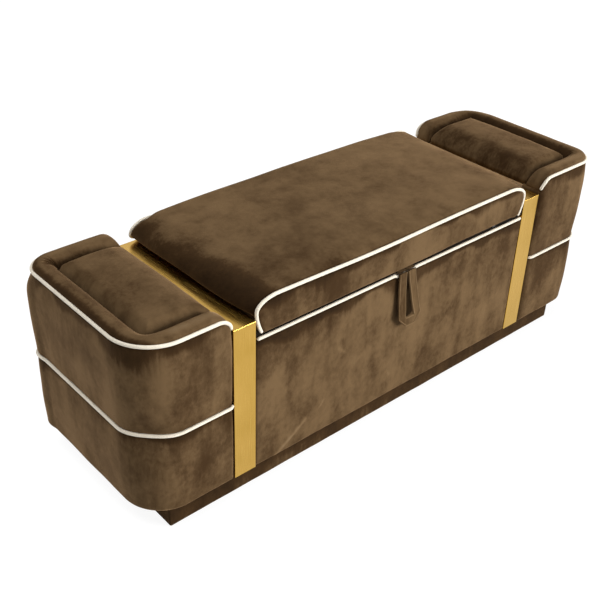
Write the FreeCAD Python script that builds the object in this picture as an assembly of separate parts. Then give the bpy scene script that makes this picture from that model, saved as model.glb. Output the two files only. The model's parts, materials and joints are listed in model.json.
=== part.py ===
import FreeCAD, Part
import math
import os

from FreeCAD import Vector

# Storage ottoman bench with a hinged, padded lid between two brass bands,
# an upholstered block at each end and a recessed plinth.
# Millimetres. Origin on the floor under the middle, +X to the right, front at -Y, +Z up.

# Overall sizes
body_length = 1394.0
block_depth = 428.0
body_bottom = 54.0
box_length = 844.0
rim_height = 388.0

# Plinth
plinth_end_recess = 59.5
plinth_side_recess = 18.0
plinth_board = 18.0
plinth_wrap = 2.0
wrap_lift = 2.0
glide_height = 4.0
glide_side = 16.0
dust_cover_thickness = 1.0
cross_rail_spacing = 424.0

# Storage box
deck_thickness = 15.0
box_panel = 15.0
liner_thickness = 1.5
facing_pad = 8.0
facing_edge_radius = 3.0
facing_side_gap = 0.5

# Bands and the gables behind them
band_width = 56.0
band_setback = 3.0
band_rise = 39.5
band_sheet = 1.5
band_return = 15.0
band_bend_radius = 1.4

# End blocks
block_gap = 2.0
block_tight_corner_radius = 54.0
block_wide_corner_radius = 95.0
block_inner_radius = 12.0
block_end_round = 26.0
block_front_round = 14.0
cover_thickness = 4.0
cover_turn_in = 64.0
wall_board = 8.0
wall_lift = 2.0
inner_board = 12.0
former_board = 12.0
former_rise = 5.5
post_side = 30.0
layer_gap = 0.25

# Piping, drawn as a cord with flat sides so that its faces stay few
piping_radius = 4.3
piping_sides = 6
piping_proud = 0.4
mid_piping_height = 252.0
mid_piping_curl = 55.0
mid_piping_tail = 0.4
top_piping_rise = 34.5
top_piping_drop_radius = 28.0
top_piping_tail = 0.6
top_piping_end_inset = 6.0
box_piping_drop = 0.5
box_piping_inset = 2.0

# Roll and pad on each block; heights are above the block's top board
roll_width = 49.5
roll_rise = 50.5
roll_outer_rise = 26.0
roll_crease_rise = 33.0
roll_end_radius = 36.0
roll_corner_spans = 3
roll_shoulder_shift = 0.28
roll_shoulder_rise = 0.70
roll_slope_shift = 0.73
roll_slope_rise = 0.75
pad_gap = 1.5
pad_rise = 51.0
pad_stations = (0.0, 0.09, 0.3, 0.75, 0.92, 1.0)
pad_inner_edge_rise = 16.0
pad_outer_edge_rise = 30.0
pad_inner_fall = 60.0
pad_outer_fall = 42.0
pad_inner_draw = 12.0
pad_side_share = 0.46
pad_shoulder_width = 18.0
pad_shoulder_bulge = 5.0
pad_shoulder_rise = 0.72
pad_bulge_rise = 0.52

# Lid
lid_gap = 7.0
lid_height = 82.5
lid_panel_depth = 7.0
lid_side_gap = 14.0
lid_seam_gap = 1.0
lid_corner_radius = 46.0
lid_crown = 15.0
lid_crown_rest = 0.4
lid_crown_edge_share = 0.55
lid_side_swell = 17.0
lid_neck_drop = 3.0
lid_side_rise = 16.0
lid_side_lift = 10.0
lid_belly_bulge = 0.3
lid_belly_share = 0.42
lid_bend_in_share = 0.26
lid_bend_up_share = 0.72
lid_stations = (1.0, 0.95, 0.82, 0.5, 0.0)
lid_cover_thickness = 3.0
lid_board_thickness = 15.0
lid_board_end_gap = 4.0
lid_board_seam_gap = 2.0
lid_lining_inset = 3.0
lid_panel_gap = 0.2

# Hinges
hinge_spacing = 500.0
hinge_length = 60.0
hinge_knuckle_radius = 4.2
hinge_knuckle_gap = 0.3
hinge_pin_radius = 2.0
hinge_pin_clearance = 0.05
hinge_leaf = 2.0
hinge_leaf_front = 24.0
hinge_stand_off = 1.0

# Screws, pins and small heads, with flat sides so that their faces stay few
screw_sides = 6
pin_sides = 12
screw_radius = 1.75
screw_head_radius = 3.2
screw_head_height = 1.6
screw_length = 14.0
screw_clearance = 0.08
screw_spacing = 40.0

# Slotted lid stays: the bracket pivot and the stud lie on one circle about the hinge,
# so the arm turns by exactly half the lid's angle
stay_reach = 150.0
stay_pivot_drop = 12.0
stay_stud_angle = 25.0
lid_opening_angle = 90.0
stay_arm_width = 16.0
stay_arm_thickness = 2.5
stay_arm_overrun = 1.0
stay_slot_width = 6.3
stay_slot_shut_room = 4.0
stay_slot_open_room = 0.2
stay_stud_radius = 2.9
stay_pivot_radius = 3.0
stay_pivot_clearance = 0.05
stay_head_radius = 5.5
stay_head_height = 1.6
stay_side_gap = 0.6
stay_plate = 2.0
stay_plate_length = 40.0
stay_plate_width = 18.0
stay_screw_edge = 6.0
bracket_foot_width = 26.0
bracket_length = 36.0
bracket_screw_edge = 9.0

# Pull loop
loop_left = -20.0
loop_strap = 25.0
loop_spread = 24.0
loop_top_gap = 2.0
loop_height = 143.0
loop_thickness = 5.0
loop_stand_off = 12.0
loop_sag_share = 0.3
loop_panel_gap = 3.0
loop_tab_gap = 0.5
loop_tab_thickness = 2.6
loop_tab_depth = 34.0

# Bumpers and the bolts that hold the blocks
bumper_side = 11.0
bumper_gap = 0.2
bumper_end_inset = 92.0
bolt_radius = 3.0
bolt_head_radius = 6.0
bolt_head_height = 4.0
bolt_length = 54.0
bolt_hole_clearance = 0.3
bolt_seat_clearance = 0.05
bolt_post_gap = 48.0
bolt_low_rise = 41.0
bolt_high_drop = 55.0
bolt_window_edge = 35.0

# Places worked out from the sizes above
half_length = body_length / 2
block_y = block_depth / 2
band_y = block_y - band_setback
plinth_x = half_length - plinth_end_recess
plinth_y = block_y - plinth_side_recess
box_x = box_length / 2
band_outer_x = box_x + band_width
block_inner_x = band_outer_x + block_gap
facing_y = band_y
panel_y = facing_y - facing_pad
cavity_y = panel_y - box_panel
cavity_x = box_x - box_panel
deck_top = body_bottom + deck_thickness
rim_top = rim_height + liner_thickness
box_piping_height = rim_height - box_piping_drop
lid_bottom = rim_height + lid_gap
lid_seam_top = lid_bottom + lid_height
lid_y = facing_y
lid_seam_y = lid_y - lid_panel_depth
lid_bottom_x = box_x - lid_side_gap
lid_seam_x = box_x - lid_seam_gap
lining_top = lid_bottom + liner_thickness
lid_board_top = lining_top + lid_board_thickness
band_top = lid_bottom + band_rise
former_top = band_top + former_rise
top_piping_height = former_top + top_piping_rise
wall_depth = block_y - cavity_y
wall_out = wall_depth - wall_board
frame_x = block_inner_x + cover_thickness
post_x = frame_x + inner_board
bolt_y = cavity_y - post_side - bolt_post_gap
bolt_heights = (deck_top + bolt_low_rise, former_top - bolt_high_drop)
piping_depth = piping_radius - piping_proud + layer_gap
hinge_y = lid_y + hinge_stand_off + hinge_knuckle_radius
hinge_z = (rim_top + lid_bottom) / 2
hinge_places = (-hinge_spacing / 2, hinge_spacing / 2)
rim_middle_y = (panel_y + cavity_y) / 2
far = 2000.0
touch = 1e-6

right = Vector(1, 0, 0)
up = Vector(0, 0, 1)
down = Vector(0, 0, -1)

parts = {}


def box(x0, x1, y0, y1, z0, z1):
    return Part.makeBox(x1 - x0, y1 - y0, z1 - z0, Vector(x0, y0, z0))


def slab(z0, z1):
    """Everything between two heights, as a cutting tool."""
    return box(-far, far, -far, far, z0, z1)


def group(solids):
    return Part.makeCompound(solids)


def unchanged(shape):
    return shape


def mirrored(shape):
    return shape.mirror(Vector(0, 0, 0), right)


def front_to_back(shape):
    return shape.mirror(Vector(0, 0, 0), Vector(0, 1, 0))


def turned(shape):
    copy = shape.copy()
    copy.rotate(Vector(0, 0, 0), up, 180)
    return copy


# Fittings are mirrored from side to side; the two end blocks are alike, one turned about
sides = (("left", mirrored), ("right", unchanged))
block_sides = (("left", turned), ("right", unchanged))


def arc(start, middle, end):
    return Part.Arc(start, middle, end).toShape()


def line(start, end):
    return Part.LineSegment(start, end).toShape()


def corner_arc(before, corner, after, radius):
    """Returns the tangent arc's start, middle and end at one corner of a path."""
    to_before = (before - corner).normalize()
    to_after = (after - corner).normalize()
    half = to_before.getAngle(to_after) / 2
    reach = radius / math.tan(half)
    inward = (to_before + to_after).normalize()
    middle = corner + inward * (radius / math.sin(half) - radius)
    return corner + to_before * reach, middle, corner + to_after * reach


def rounded_path(points, radii, closed=False):
    """Joins points by lines and rounds each corner; an open path keeps its two ends."""
    count = len(points)
    pieces = []
    for i in range(count):
        inside = closed or 0 < i < count - 1
        if inside and radii[i] > 0:
            pieces.append(corner_arc(points[i - 1], points[i], points[(i + 1) % count], radii[i]))
        else:
            pieces.append((points[i],))
    edges = []
    for i, piece in enumerate(pieces):
        if len(piece) == 3:
            edges.append(arc(*piece))
        if i + 1 < count or closed:
            start = piece[-1]
            end = pieces[(i + 1) % count][0]
            if start.distanceToPoint(end) > touch:
                edges.append(line(start, end))
    return Part.Wire(edges)


def ring(centre, direction, radius, count):
    """Regular polygon square to a direction."""
    helper = Vector(0, 1, 0) if abs(direction.z) > 0.5 else up
    across = direction.cross(helper).normalize()
    over = direction.cross(across).normalize()
    points = []
    for i in range(count + 1):
        angle = 2 * math.pi * i / count
        points.append(centre + across * (radius * math.cos(angle)) + over * (radius * math.sin(angle)))
    return Part.makePolygon(points)


def facet_rod(base, direction, length, radius, count):
    """Rod with flat sides."""
    face = Part.Face(ring(base, direction, radius, count))
    return face.extrude(direction * length)


def pin(base, direction, length, radius):
    """Turned pin or knuckle."""
    return facet_rod(base, direction, length, radius, pin_sides)


def bore(base, direction, length, radius):
    """Hole that a pin of the given radius turns freely in."""
    return facet_rod(base, direction, length, radius / math.cos(math.pi / pin_sides), pin_sides)


def tube(path, radius):
    """Sweeps the piping's section along a path."""
    first = path.OrderedEdges[0]
    start = first.valueAt(first.FirstParameter)
    tangent = first.tangentAt(first.FirstParameter)
    return path.makePipeShell([ring(start, tangent, radius, piping_sides)], True, False)


def prism_z(wire, z0, z1):
    face = Part.Face(wire)
    face.translate(Vector(0, 0, z0 - wire.Vertexes[0].Z))
    return face.extrude(Vector(0, 0, z1 - z0))


def prism_y(wire, y0, y1):
    face = Part.Face(wire)
    face.translate(Vector(0, y0 - wire.Vertexes[0].Y, 0))
    return face.extrude(Vector(0, y1 - y0, 0))


def prism_x(wire, x0, x1):
    face = Part.Face(wire)
    face.translate(Vector(x0 - wire.Vertexes[0].X, 0, 0))
    return face.extrude(Vector(x1 - x0, 0, 0))


def screw(seat, direction, grow=0.0):
    """Countersunk screw whose head is flush at the seat; grow makes its hole."""
    neck = seat + direction * screw_head_height
    tip = seat + direction * (screw_length + grow)
    return Part.makeLoft([
        ring(seat, direction, screw_head_radius + grow, screw_sides),
        ring(neck, direction, screw_radius + grow, screw_sides),
        ring(tip, direction, screw_radius + grow, screw_sides)], True, True)


def screws(places, grow=0.0):
    return group([screw(seat, direction, grow) for seat, direction in places])


def quarter_rise(distance, length):
    """Rises from 0 to 1 over a length as a quarter of an ellipse."""
    left = 1 - min(distance / length, 1.0)
    return math.sqrt(1 - left * left)


def make_plinth():
    rail_top = body_bottom - dust_cover_thickness
    x = plinth_x - plinth_wrap
    y = plinth_y - plinth_wrap
    inner_y = y - plinth_board
    long_rail = box(-x, x, inner_y, y, glide_height, rail_top)
    parts["plinth_long_rails"] = group([long_rail, front_to_back(long_rail)])
    end = x - plinth_board / 2
    cross_rails = []
    for middle in (-end, -cross_rail_spacing / 2, cross_rail_spacing / 2, end):
        cross_rails.append(box(middle - plinth_board / 2, middle + plinth_board / 2,
                               -inner_y, inner_y, glide_height, rail_top))
    parts["plinth_cross_rails"] = group(cross_rails)
    wrap = box(-plinth_x, plinth_x, -plinth_y, plinth_y, glide_height + wrap_lift, rail_top)
    parts["plinth_cover"] = wrap.cut(box(-x, x, -y, y, 0, body_bottom))
    parts["dust_cover"] = box(-x, x, -y, y, rail_top, body_bottom)
    glide_y = y - plinth_board / 2
    half = glide_side / 2
    parts["glides"] = group([box(gx - half, gx + half, gy - half, gy + half, 0, glide_height)
                             for gx in (-end, 0, end) for gy in (-glide_y, glide_y)])


def block_outline(inset, inner_inset):
    """Plan outline of the right-hand block, drawn in by inset; the inner side by inner_inset.

    Its front corner is the tight one."""
    x0 = block_inner_x + inner_inset
    x1 = half_length - inset
    y = block_y - inset
    tight = block_tight_corner_radius - inset
    wide = block_wide_corner_radius - inset
    inner = block_inner_radius - inner_inset if 0 <= inner_inset < block_inner_radius else 0
    points = [Vector(x0, -y, 0), Vector(x1, -y, 0), Vector(x1, y, 0), Vector(x0, y, 0)]
    return rounded_path(points, [inner, tight, wide, inner], closed=True)


def frame_outline(inset, x0):
    """Plan outline of the block's boards: the rounded corners become three-sided turns."""
    x1 = half_length - inset
    y = block_y - inset
    tight = (2 - math.sqrt(2)) * (block_tight_corner_radius - inset)
    wide = (2 - math.sqrt(2)) * (block_wide_corner_radius - inset)
    points = [Vector(x0, -y, 0), Vector(x1 - tight, -y, 0), Vector(x1, tight - y, 0),
              Vector(x1, y - wide, 0), Vector(x1 - wide, y, 0), Vector(x0, y, 0)]
    return rounded_path(points, [0] * len(points), closed=True)


def block_form(inset, inner_inset, bottom, top):
    """Block body at one layer, with its bottom rounded at the outer end, front and back."""
    body = prism_z(block_outline(inset, inner_inset), bottom, top)
    end_radius = max(block_end_round - inset, 0)
    front_radius = max(block_front_round - inset, 0)
    x1 = half_length - inset
    y = block_y - inset
    end = rounded_path(
        [Vector(0, 0, bottom), Vector(x1, 0, bottom), Vector(x1, 0, far), Vector(0, 0, far)],
        [0, end_radius, 0, 0], closed=True)
    front = rounded_path(
        [Vector(0, -y, bottom), Vector(0, y, bottom), Vector(0, y, far), Vector(0, -y, far)],
        [front_radius, front_radius, 0, 0], closed=True)
    return body.common(prism_y(end, -far, far)).common(prism_x(front, 0, far))


def end_rounding(bottom, top, radius, inset):
    """Tool that rounds a block's upper inner end, seen from the front."""
    x0 = block_inner_x + inset
    wire = rounded_path(
        [Vector(x0, 0, bottom), Vector(x0, 0, top), Vector(far, 0, top), Vector(far, 0, bottom)],
        [0, radius, 0, 0], closed=True)
    return prism_y(wire, -far, far)


def make_block_piping(name, place):
    x1 = half_length + piping_proud
    y = block_y + piping_proud
    tight = block_tight_corner_radius + piping_proud
    wide = block_wide_corner_radius + piping_proud

    z = mid_piping_height
    bend = block_inner_radius + piping_proud
    curl = math.radians(mid_piping_curl)
    reach = bend * math.tan(curl / 2)
    corner_x = block_inner_x + block_inner_radius - reach
    tip_x = corner_x - (reach + mid_piping_tail) * math.cos(curl)
    tip_y = y - (reach + mid_piping_tail) * math.sin(curl)
    path = rounded_path(
        [Vector(tip_x, -tip_y, z), Vector(corner_x, -y, z), Vector(x1, -y, z),
         Vector(x1, y, z), Vector(corner_x, y, z), Vector(tip_x, tip_y, z)],
        [0, bend, tight, wide, bend, 0])
    parts["mid_piping_" + name] = place(tube(path, piping_radius))

    z = top_piping_height
    bend = top_piping_drop_radius
    end_x = block_inner_x + top_piping_end_inset
    low = z - bend - top_piping_tail
    path = rounded_path(
        [Vector(end_x, -y, low), Vector(end_x, -y, z), Vector(x1, -y, z),
         Vector(x1, y, z), Vector(end_x, y, z), Vector(end_x, y, low)],
        [0, bend, tight, wide, bend, 0])
    parts["top_piping_" + name] = place(tube(path, piping_radius))


def make_block_frame(name, place):
    """Boards of the block, and the foam between them and its cover."""
    wall_bottom = body_bottom + cover_thickness + wall_lift
    wall = prism_z(frame_outline(wall_out, frame_x), wall_bottom, former_top)
    wall = wall.cut(prism_z(frame_outline(wall_depth, 0), 0, far))
    parts["block_wall_" + name] = place(wall)
    panel = box(frame_x, post_x, -cavity_y, cavity_y, deck_top, former_top)
    panel = panel.cut(bolt_rods(bolt_hole_clearance))
    parts["block_inner_panel_" + name] = place(panel)
    former = prism_z(frame_outline(wall_depth + layer_gap, post_x), former_top - former_board, former_top)
    parts["block_top_former_" + name] = place(former)
    foam_inset = max(cover_thickness + layer_gap, piping_depth)
    foam = block_form(foam_inset, cover_thickness, body_bottom + foam_inset, former_top)
    foam = foam.cut(prism_z(frame_outline(wall_out - layer_gap, 0), 0, far))
    parts["block_foam_" + name] = place(foam)


def make_block_covers(name, place):
    """Fabric of the block below and above its middle piping."""
    skin = cover_thickness
    cover_top = top_piping_height - piping_radius
    outer = block_form(0, 0, body_bottom, cover_top)
    inner = block_form(skin, skin, body_bottom + skin, far)
    floor_hole = prism_z(frame_outline(wall_depth, 0), 0, deck_top)
    window_y = block_y - cover_turn_in
    window = box(0, block_inner_x + block_inner_radius, -window_y, window_y, 0, far)
    shell = outer.cut(inner).cut(floor_hole).cut(window)
    lower = shell.common(slab(0, mid_piping_height - piping_radius))
    upper = shell.common(slab(mid_piping_height + piping_radius, far))
    end_inset = top_piping_end_inset + piping_radius
    rounding = end_rounding(0, cover_top, top_piping_drop_radius - piping_radius, end_inset)
    rounding = rounding.fuse(slab(0, former_top))
    parts["block_lower_cover_" + name] = place(lower)
    parts["block_upper_cover_" + name] = place(upper.common(rounding))


def roll_section(place_point):
    """Section of the roll: a crest between the piping and the crease; its foot is cut level later."""
    crest = (piping_depth + roll_width) / 2
    top = former_top + roll_rise
    outer_z = former_top + roll_outer_rise
    crease_z = former_top + roll_crease_rise
    shoulder = piping_depth + roll_shoulder_shift * (crest - piping_depth)
    shoulder_z = outer_z + roll_shoulder_rise * (top - outer_z)
    slope = crest + roll_slope_shift * (roll_width - crest)
    slope_z = crease_z + roll_slope_rise * (top - crease_z)
    foot_z = former_top - former_board
    foot = place_point(piping_depth, foot_z)
    outside = place_point(piping_depth, outer_z)
    middle = place_point(crest, top)
    crease = place_point(roll_width, crease_z)
    inside = place_point(roll_width, foot_z)
    return Part.Wire([
        line(foot, outside),
        arc(outside, place_point(shoulder, shoulder_z), middle),
        arc(middle, place_point(slope, slope_z), crease),
        line(crease, inside),
        line(inside, foot)])


def make_block_roll(name, place):
    """Padded roll round the top of the block, with its two ends turned down."""
    def run_section(x, sign):
        return roll_section(lambda inset, z: Vector(x, sign * (block_y - inset), z))

    def corner_section(angle, radius, sign):
        across = half_length - radius
        along = block_y - radius
        cosine = math.cos(angle)
        sine = math.sin(angle)
        return roll_section(lambda inset, z: Vector(
            across + (radius - inset) * sine, sign * (along + (radius - inset) * cosine), z))

    angles = [math.pi / 2 * i / roll_corner_spans for i in range(roll_corner_spans + 1)]
    wires = [run_section(frame_x, -1)]
    wires += [corner_section(angle, block_tight_corner_radius, -1) for angle in angles]
    wires += [corner_section(angle, block_wide_corner_radius, 1) for angle in reversed(angles)]
    wires += [run_section(frame_x, 1)]
    roll = Part.makeLoft(wires, True, True)
    end = end_rounding(former_top, former_top + roll_rise + layer_gap, roll_end_radius, cover_thickness)
    parts["block_roll_" + name] = place(roll.common(end))


def pad_section(x, front, back, rise):
    """One cross-section of the pad: low sides, rounded shoulders and a crown."""
    crown_z = former_top + rise
    side_z = former_top + pad_side_share * rise
    bulge_z = side_z + pad_bulge_rise * (crown_z - side_z)
    shoulder_z = side_z + pad_shoulder_rise * (crown_z - side_z)

    def at(y, z):
        return Vector(x, y, z)

    back_bulge = at(back - pad_shoulder_bulge, bulge_z)
    back_shoulder = at(back - pad_shoulder_width, shoulder_z)
    front_bulge = at(front + pad_shoulder_bulge, bulge_z)
    front_shoulder = at(front + pad_shoulder_width, shoulder_z)
    return Part.Wire([
        line(at(front, former_top), at(back, former_top)),
        line(at(back, former_top), at(back, side_z)),
        line(at(back, side_z), back_bulge),
        line(back_bulge, back_shoulder),
        arc(back_shoulder, at((front + back) / 2, crown_z), front_shoulder),
        line(front_shoulder, front_bulge),
        line(front_bulge, at(front, side_z)),
        line(at(front, side_z), at(front, former_top))])


def make_block_pad(name, place):
    """Crowned pad inside the roll, falling to the band along its inner side."""
    outer_x = half_length - roll_width - pad_gap
    half_y = block_y - roll_width - pad_gap
    tight = block_tight_corner_radius - roll_width - pad_gap
    wide = block_wide_corner_radius - roll_width - pad_gap
    length = outer_x - frame_x
    wires = []
    for share in pad_stations:
        from_inner = share * length
        from_outer = length - from_inner
        inner_rise = quarter_rise(from_inner, pad_inner_fall)
        outer_rise = quarter_rise(from_outer, pad_outer_fall)
        rise = min(pad_inner_edge_rise + (pad_rise - pad_inner_edge_rise) * inner_rise,
                   pad_outer_edge_rise + (pad_rise - pad_outer_edge_rise) * outer_rise)
        side = half_y - pad_inner_draw * (1 - inner_rise)
        front = tight * (1 - quarter_rise(from_outer, tight)) - side
        back = side - wide * (1 - quarter_rise(from_outer, wide))
        wires.append(pad_section(frame_x + from_inner, front, back, rise))
    parts["block_pad_" + name] = place(Part.makeLoft(wires, True, True))


def bolt_seats():
    return [Vector(post_x, y, z) for y in (-bolt_y, bolt_y) for z in bolt_heights]


def bolt_rods(grow):
    """Shanks of one block's bolts, or the room for them."""
    return group([facet_rod(seat, -right, bolt_length + grow, bolt_radius + grow, screw_sides)
                  for seat in bolt_seats()])


def make_bolts():
    bolts = []
    for seat in bolt_seats():
        shank = facet_rod(seat, -right, bolt_length, bolt_radius, screw_sides)
        head = facet_rod(seat, right, bolt_head_height, bolt_head_radius, screw_sides)
        bolts.append(shank.fuse(head))
    parts["block_bolts"] = group([place(bolt) for _, place in block_sides for bolt in bolts])


def make_blocks():
    for name, place in block_sides:
        make_block_frame(name, place)
        make_block_covers(name, place)
        make_block_roll(name, place)
        make_block_pad(name, place)
        make_block_piping(name, place)
    posts = []
    for y in (-cavity_y, cavity_y - post_side):
        posts.append(box(post_x, post_x + post_side, y, y + post_side, deck_top, former_top - former_board))
    parts["block_posts"] = group([place(post) for _, place in block_sides for post in posts])


def make_bands():
    """Sheet-metal channel with folded edges, and the board that it is pressed over."""
    x0, x1, y = box_x, band_outer_x, band_y
    bend = band_bend_radius
    plan = rounded_path([Vector(x0, -y, 0), Vector(x1, -y, 0), Vector(x1, y, 0), Vector(x0, y, 0)],
                        [bend] * 4, closed=True)
    low, high = body_bottom, band_top
    face = rounded_path([Vector(x0, 0, low), Vector(x1, 0, low), Vector(x1, 0, high), Vector(x0, 0, high)],
                        [0, 0, bend, bend], closed=True)
    side = rounded_path([Vector(0, -y, low), Vector(0, y, low), Vector(0, y, high), Vector(0, -y, high)],
                        [0, 0, bend, bend], closed=True)
    blank = prism_z(plan, low, high).common(prism_y(face, -far, far)).common(prism_x(side, 0, far))
    core = box(x0 + band_sheet, x1 - band_sheet, band_sheet - y, y - band_sheet, 0, band_top - band_sheet)
    opening = box(0, far, band_return - y, y - band_return, 0, band_top - band_return)
    band = blank.cut(core).cut(opening)
    gable = core.common(slab(body_bottom, far))
    gable = gable.cut(box(0, far, -cavity_y, cavity_y, 0, deck_top))
    window_y = bolt_y - bolt_window_edge
    low_bolt, high_bolt = bolt_heights
    window = box(0, far, -window_y, window_y, low_bolt + bolt_window_edge, high_bolt - bolt_window_edge)
    gable = gable.cut(window).cut(bolt_rods(bolt_seat_clearance))
    for name, place in sides:
        parts["band_" + name] = place(band)
        parts["gable_" + name] = place(gable)


def make_deck():
    half = frame_outline(wall_depth + layer_gap, 0)
    right_half = prism_z(half, body_bottom, deck_top)
    parts["base_deck"] = right_half.fuse(turned(right_half)).removeSplitter()


def make_box_panels():
    holes = screws(body_screw_places(), screw_clearance)
    x, y = box_x, panel_y
    front = box(-x, x, -y, -cavity_y, body_bottom, rim_height)
    side = box(cavity_x, x, -cavity_y, cavity_y, deck_top, rim_height)
    parts["box_front_panel"] = front
    parts["box_back_panel"] = front_to_back(front).cut(holes)
    parts["box_side_panels"] = group([mirrored(side).cut(holes), side.cut(holes)])
    inner_x = cavity_x - liner_thickness
    inner_y = cavity_y - liner_thickness
    lining = box(-cavity_x, cavity_x, -cavity_y, cavity_y, deck_top, rim_height)
    lining = lining.fuse(box(-x, x, -y, y, rim_height, rim_top)).removeSplitter()
    lining = lining.cut(box(-inner_x, inner_x, -inner_y, inner_y, deck_top + liner_thickness, far))
    parts["box_liner"] = lining.cut(holes)


def make_facings():
    """Padded fabric faces of the box, the piping along the front one and the lid's bumpers."""
    x = box_x - facing_side_gap
    facing = box(-x, x, -facing_y, -panel_y, body_bottom, box_piping_height - piping_radius)
    edges = [edge for edge in facing.Edges if max(v.Y for v in edge.Vertexes) < touch - facing_y]
    facing = facing.makeFillet(facing_edge_radius, edges)
    parts["box_front_facing"] = facing
    parts["box_back_facing"] = front_to_back(facing)
    start = Vector(-x, box_piping_inset - facing_y, box_piping_height)
    parts["box_front_piping"] = facet_rod(start, right, 2 * x, piping_radius, piping_sides)
    outer_x = box_x - bumper_end_inset
    half = bumper_side / 2
    bumper = box(outer_x - bumper_side, outer_x, -rim_middle_y - half, half - rim_middle_y,
                 rim_top, lid_bottom - bumper_gap)
    parts["bumpers"] = group([mirrored(bumper), bumper])


def lid_outline(inset, lower):
    """Front outline of the lid at its seams: sloping sides, to be rounded at the upper corners."""
    low_x = lid_bottom_x - inset
    top_x = lid_seam_x - inset
    top = lid_seam_top - inset
    return [Vector(-low_x, 0, lower), Vector(-top_x, 0, top), Vector(top_x, 0, top), Vector(low_x, 0, lower)]


def lid_edge_x(z):
    """Half length of the lid at its seams, which lean outwards."""
    return lid_bottom_x + (lid_seam_x - lid_bottom_x) / lid_height * (z - lid_bottom)


def lid_core(inset, bottom):
    """Flat-topped core between the seams; the crown over it is wadding sewn to the cover."""
    low_x = lid_edge_x(bottom) - inset
    top_x = lid_seam_x - inset
    top = lid_seam_top - inset
    radius = lid_corner_radius - inset
    wire = rounded_path(
        [Vector(-low_x, 0, bottom), Vector(-top_x, 0, top), Vector(top_x, 0, top), Vector(low_x, 0, bottom)],
        [0, radius, radius, 0], closed=True)
    return prism_y(wire, -lid_seam_y, lid_seam_y)


def lid_section(y, swell, lower):
    """One cross-section of the lid, swelling over the bands between its two seams."""

    neck_z = band_top - lid_neck_drop
    side_z = neck_z + lid_side_rise + lid_side_lift * swell
    side_x = lid_edge_x(neck_z + lid_side_rise) + lid_side_swell * swell
    belly_x = (lid_edge_x(neck_z) + side_x) / 2 + lid_belly_bulge + lid_belly_share * lid_side_swell * swell
    belly_z = (neck_z + side_z) / 2
    corner_x = lid_seam_x - lid_corner_radius
    top_z = lid_seam_top + lid_crown * lid_crown_edge_share * swell
    crown_z = lid_seam_top + lid_crown_rest + lid_crown * swell
    bend_x = side_x - lid_bend_in_share * (side_x - corner_x)
    bend_z = side_z + lid_bend_up_share * (top_z - side_z)

    def at(x, z):
        return Vector(x, y, z)

    return Part.Wire([
        line(at(-lid_edge_x(lower), lower), at(lid_edge_x(lower), lower)),
        line(at(lid_edge_x(lower), lower), at(lid_edge_x(neck_z), neck_z)),
        line(at(lid_edge_x(neck_z), neck_z), at(belly_x, belly_z)),
        line(at(belly_x, belly_z), at(side_x, side_z)),
        arc(at(side_x, side_z), at(bend_x, bend_z), at(corner_x, top_z)),
        arc(at(corner_x, top_z), at(0, crown_z), at(-corner_x, top_z)),
        arc(at(-corner_x, top_z), at(-bend_x, bend_z), at(-side_x, side_z)),
        line(at(-side_x, side_z), at(-belly_x, belly_z)),
        line(at(-belly_x, belly_z), at(-lid_edge_x(neck_z), neck_z)),
        line(at(-lid_edge_x(neck_z), neck_z), at(-lid_edge_x(lower), lower))])


def lid_loft(lower):
    shares = [-share for share in lid_stations] + list(reversed(lid_stations[:-1]))
    wires = [lid_section(share * lid_seam_y, math.sqrt(1 - share ** 4), lower) for share in shares]
    return Part.makeLoft(wires, True, True)


def make_lid():
    holes = screws(lid_screw_places(), screw_clearance)
    x = lid_bottom_x - lid_board_end_gap
    y = lid_seam_y - lid_board_seam_gap
    parts["lid_board"] = box(-x, x, -y, y, lining_top, lid_board_top).cut(holes)
    x -= lid_lining_inset
    y -= lid_lining_inset
    parts["lid_lining"] = box(-x, x, -y, y, lid_bottom, lining_top).cut(holes)
    skin = lid_cover_thickness
    inside = lid_core(skin, lid_bottom)
    parts["lid_cover"] = lid_loft(lid_bottom).cut(inside)
    parts["lid_foam"] = lid_core(skin + layer_gap, lid_board_top)
    lower = lid_bottom + lid_panel_gap
    seam_y = lid_seam_y + lid_panel_gap
    radius = lid_corner_radius - piping_radius
    panel_edge = lid_outline(piping_radius + piping_proud, lower)
    panel = prism_y(rounded_path(panel_edge, [0, radius, radius, 0], closed=True), -lid_y, -seam_y)
    parts["lid_front_panel"] = panel
    parts["lid_back_panel"] = front_to_back(panel)
    path = rounded_path(lid_outline(0, lower), [0, lid_corner_radius, lid_corner_radius, 0])
    path.translate(Vector(0, -seam_y - piping_radius, 0))
    piping = tube(path, piping_radius)
    parts["lid_front_piping"] = piping
    parts["lid_back_piping"] = front_to_back(piping)


def hinge_leaf_shape(x, z0, knuckles):
    """One leaf with its knuckles; the other leaf's knuckles have their room cut out."""
    half = hinge_length / 2
    clear_y = hinge_y - hinge_knuckle_radius - hinge_knuckle_gap
    leaf = box(x - half, x + half, hinge_y - hinge_leaf_front, clear_y, z0, z0 + hinge_leaf)
    for k0, k1 in knuckles:
        leaf = leaf.fuse(box(x + k0, x + k1, clear_y, hinge_y, z0, z0 + hinge_leaf))
        leaf = leaf.fuse(pin(Vector(x + k0, hinge_y, hinge_z), right, k1 - k0, hinge_knuckle_radius))
    start = Vector(x - hinge_length, hinge_y, hinge_z)
    hole = bore(start, right, 2 * hinge_length, hinge_pin_radius + hinge_pin_clearance)
    return leaf.cut(hole).removeSplitter()


def hinge_screw_places(z, direction):
    return [(Vector(x + shift, rim_middle_y, z), direction)
            for x in hinge_places for shift in (-screw_spacing / 2, screw_spacing / 2)]


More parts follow.
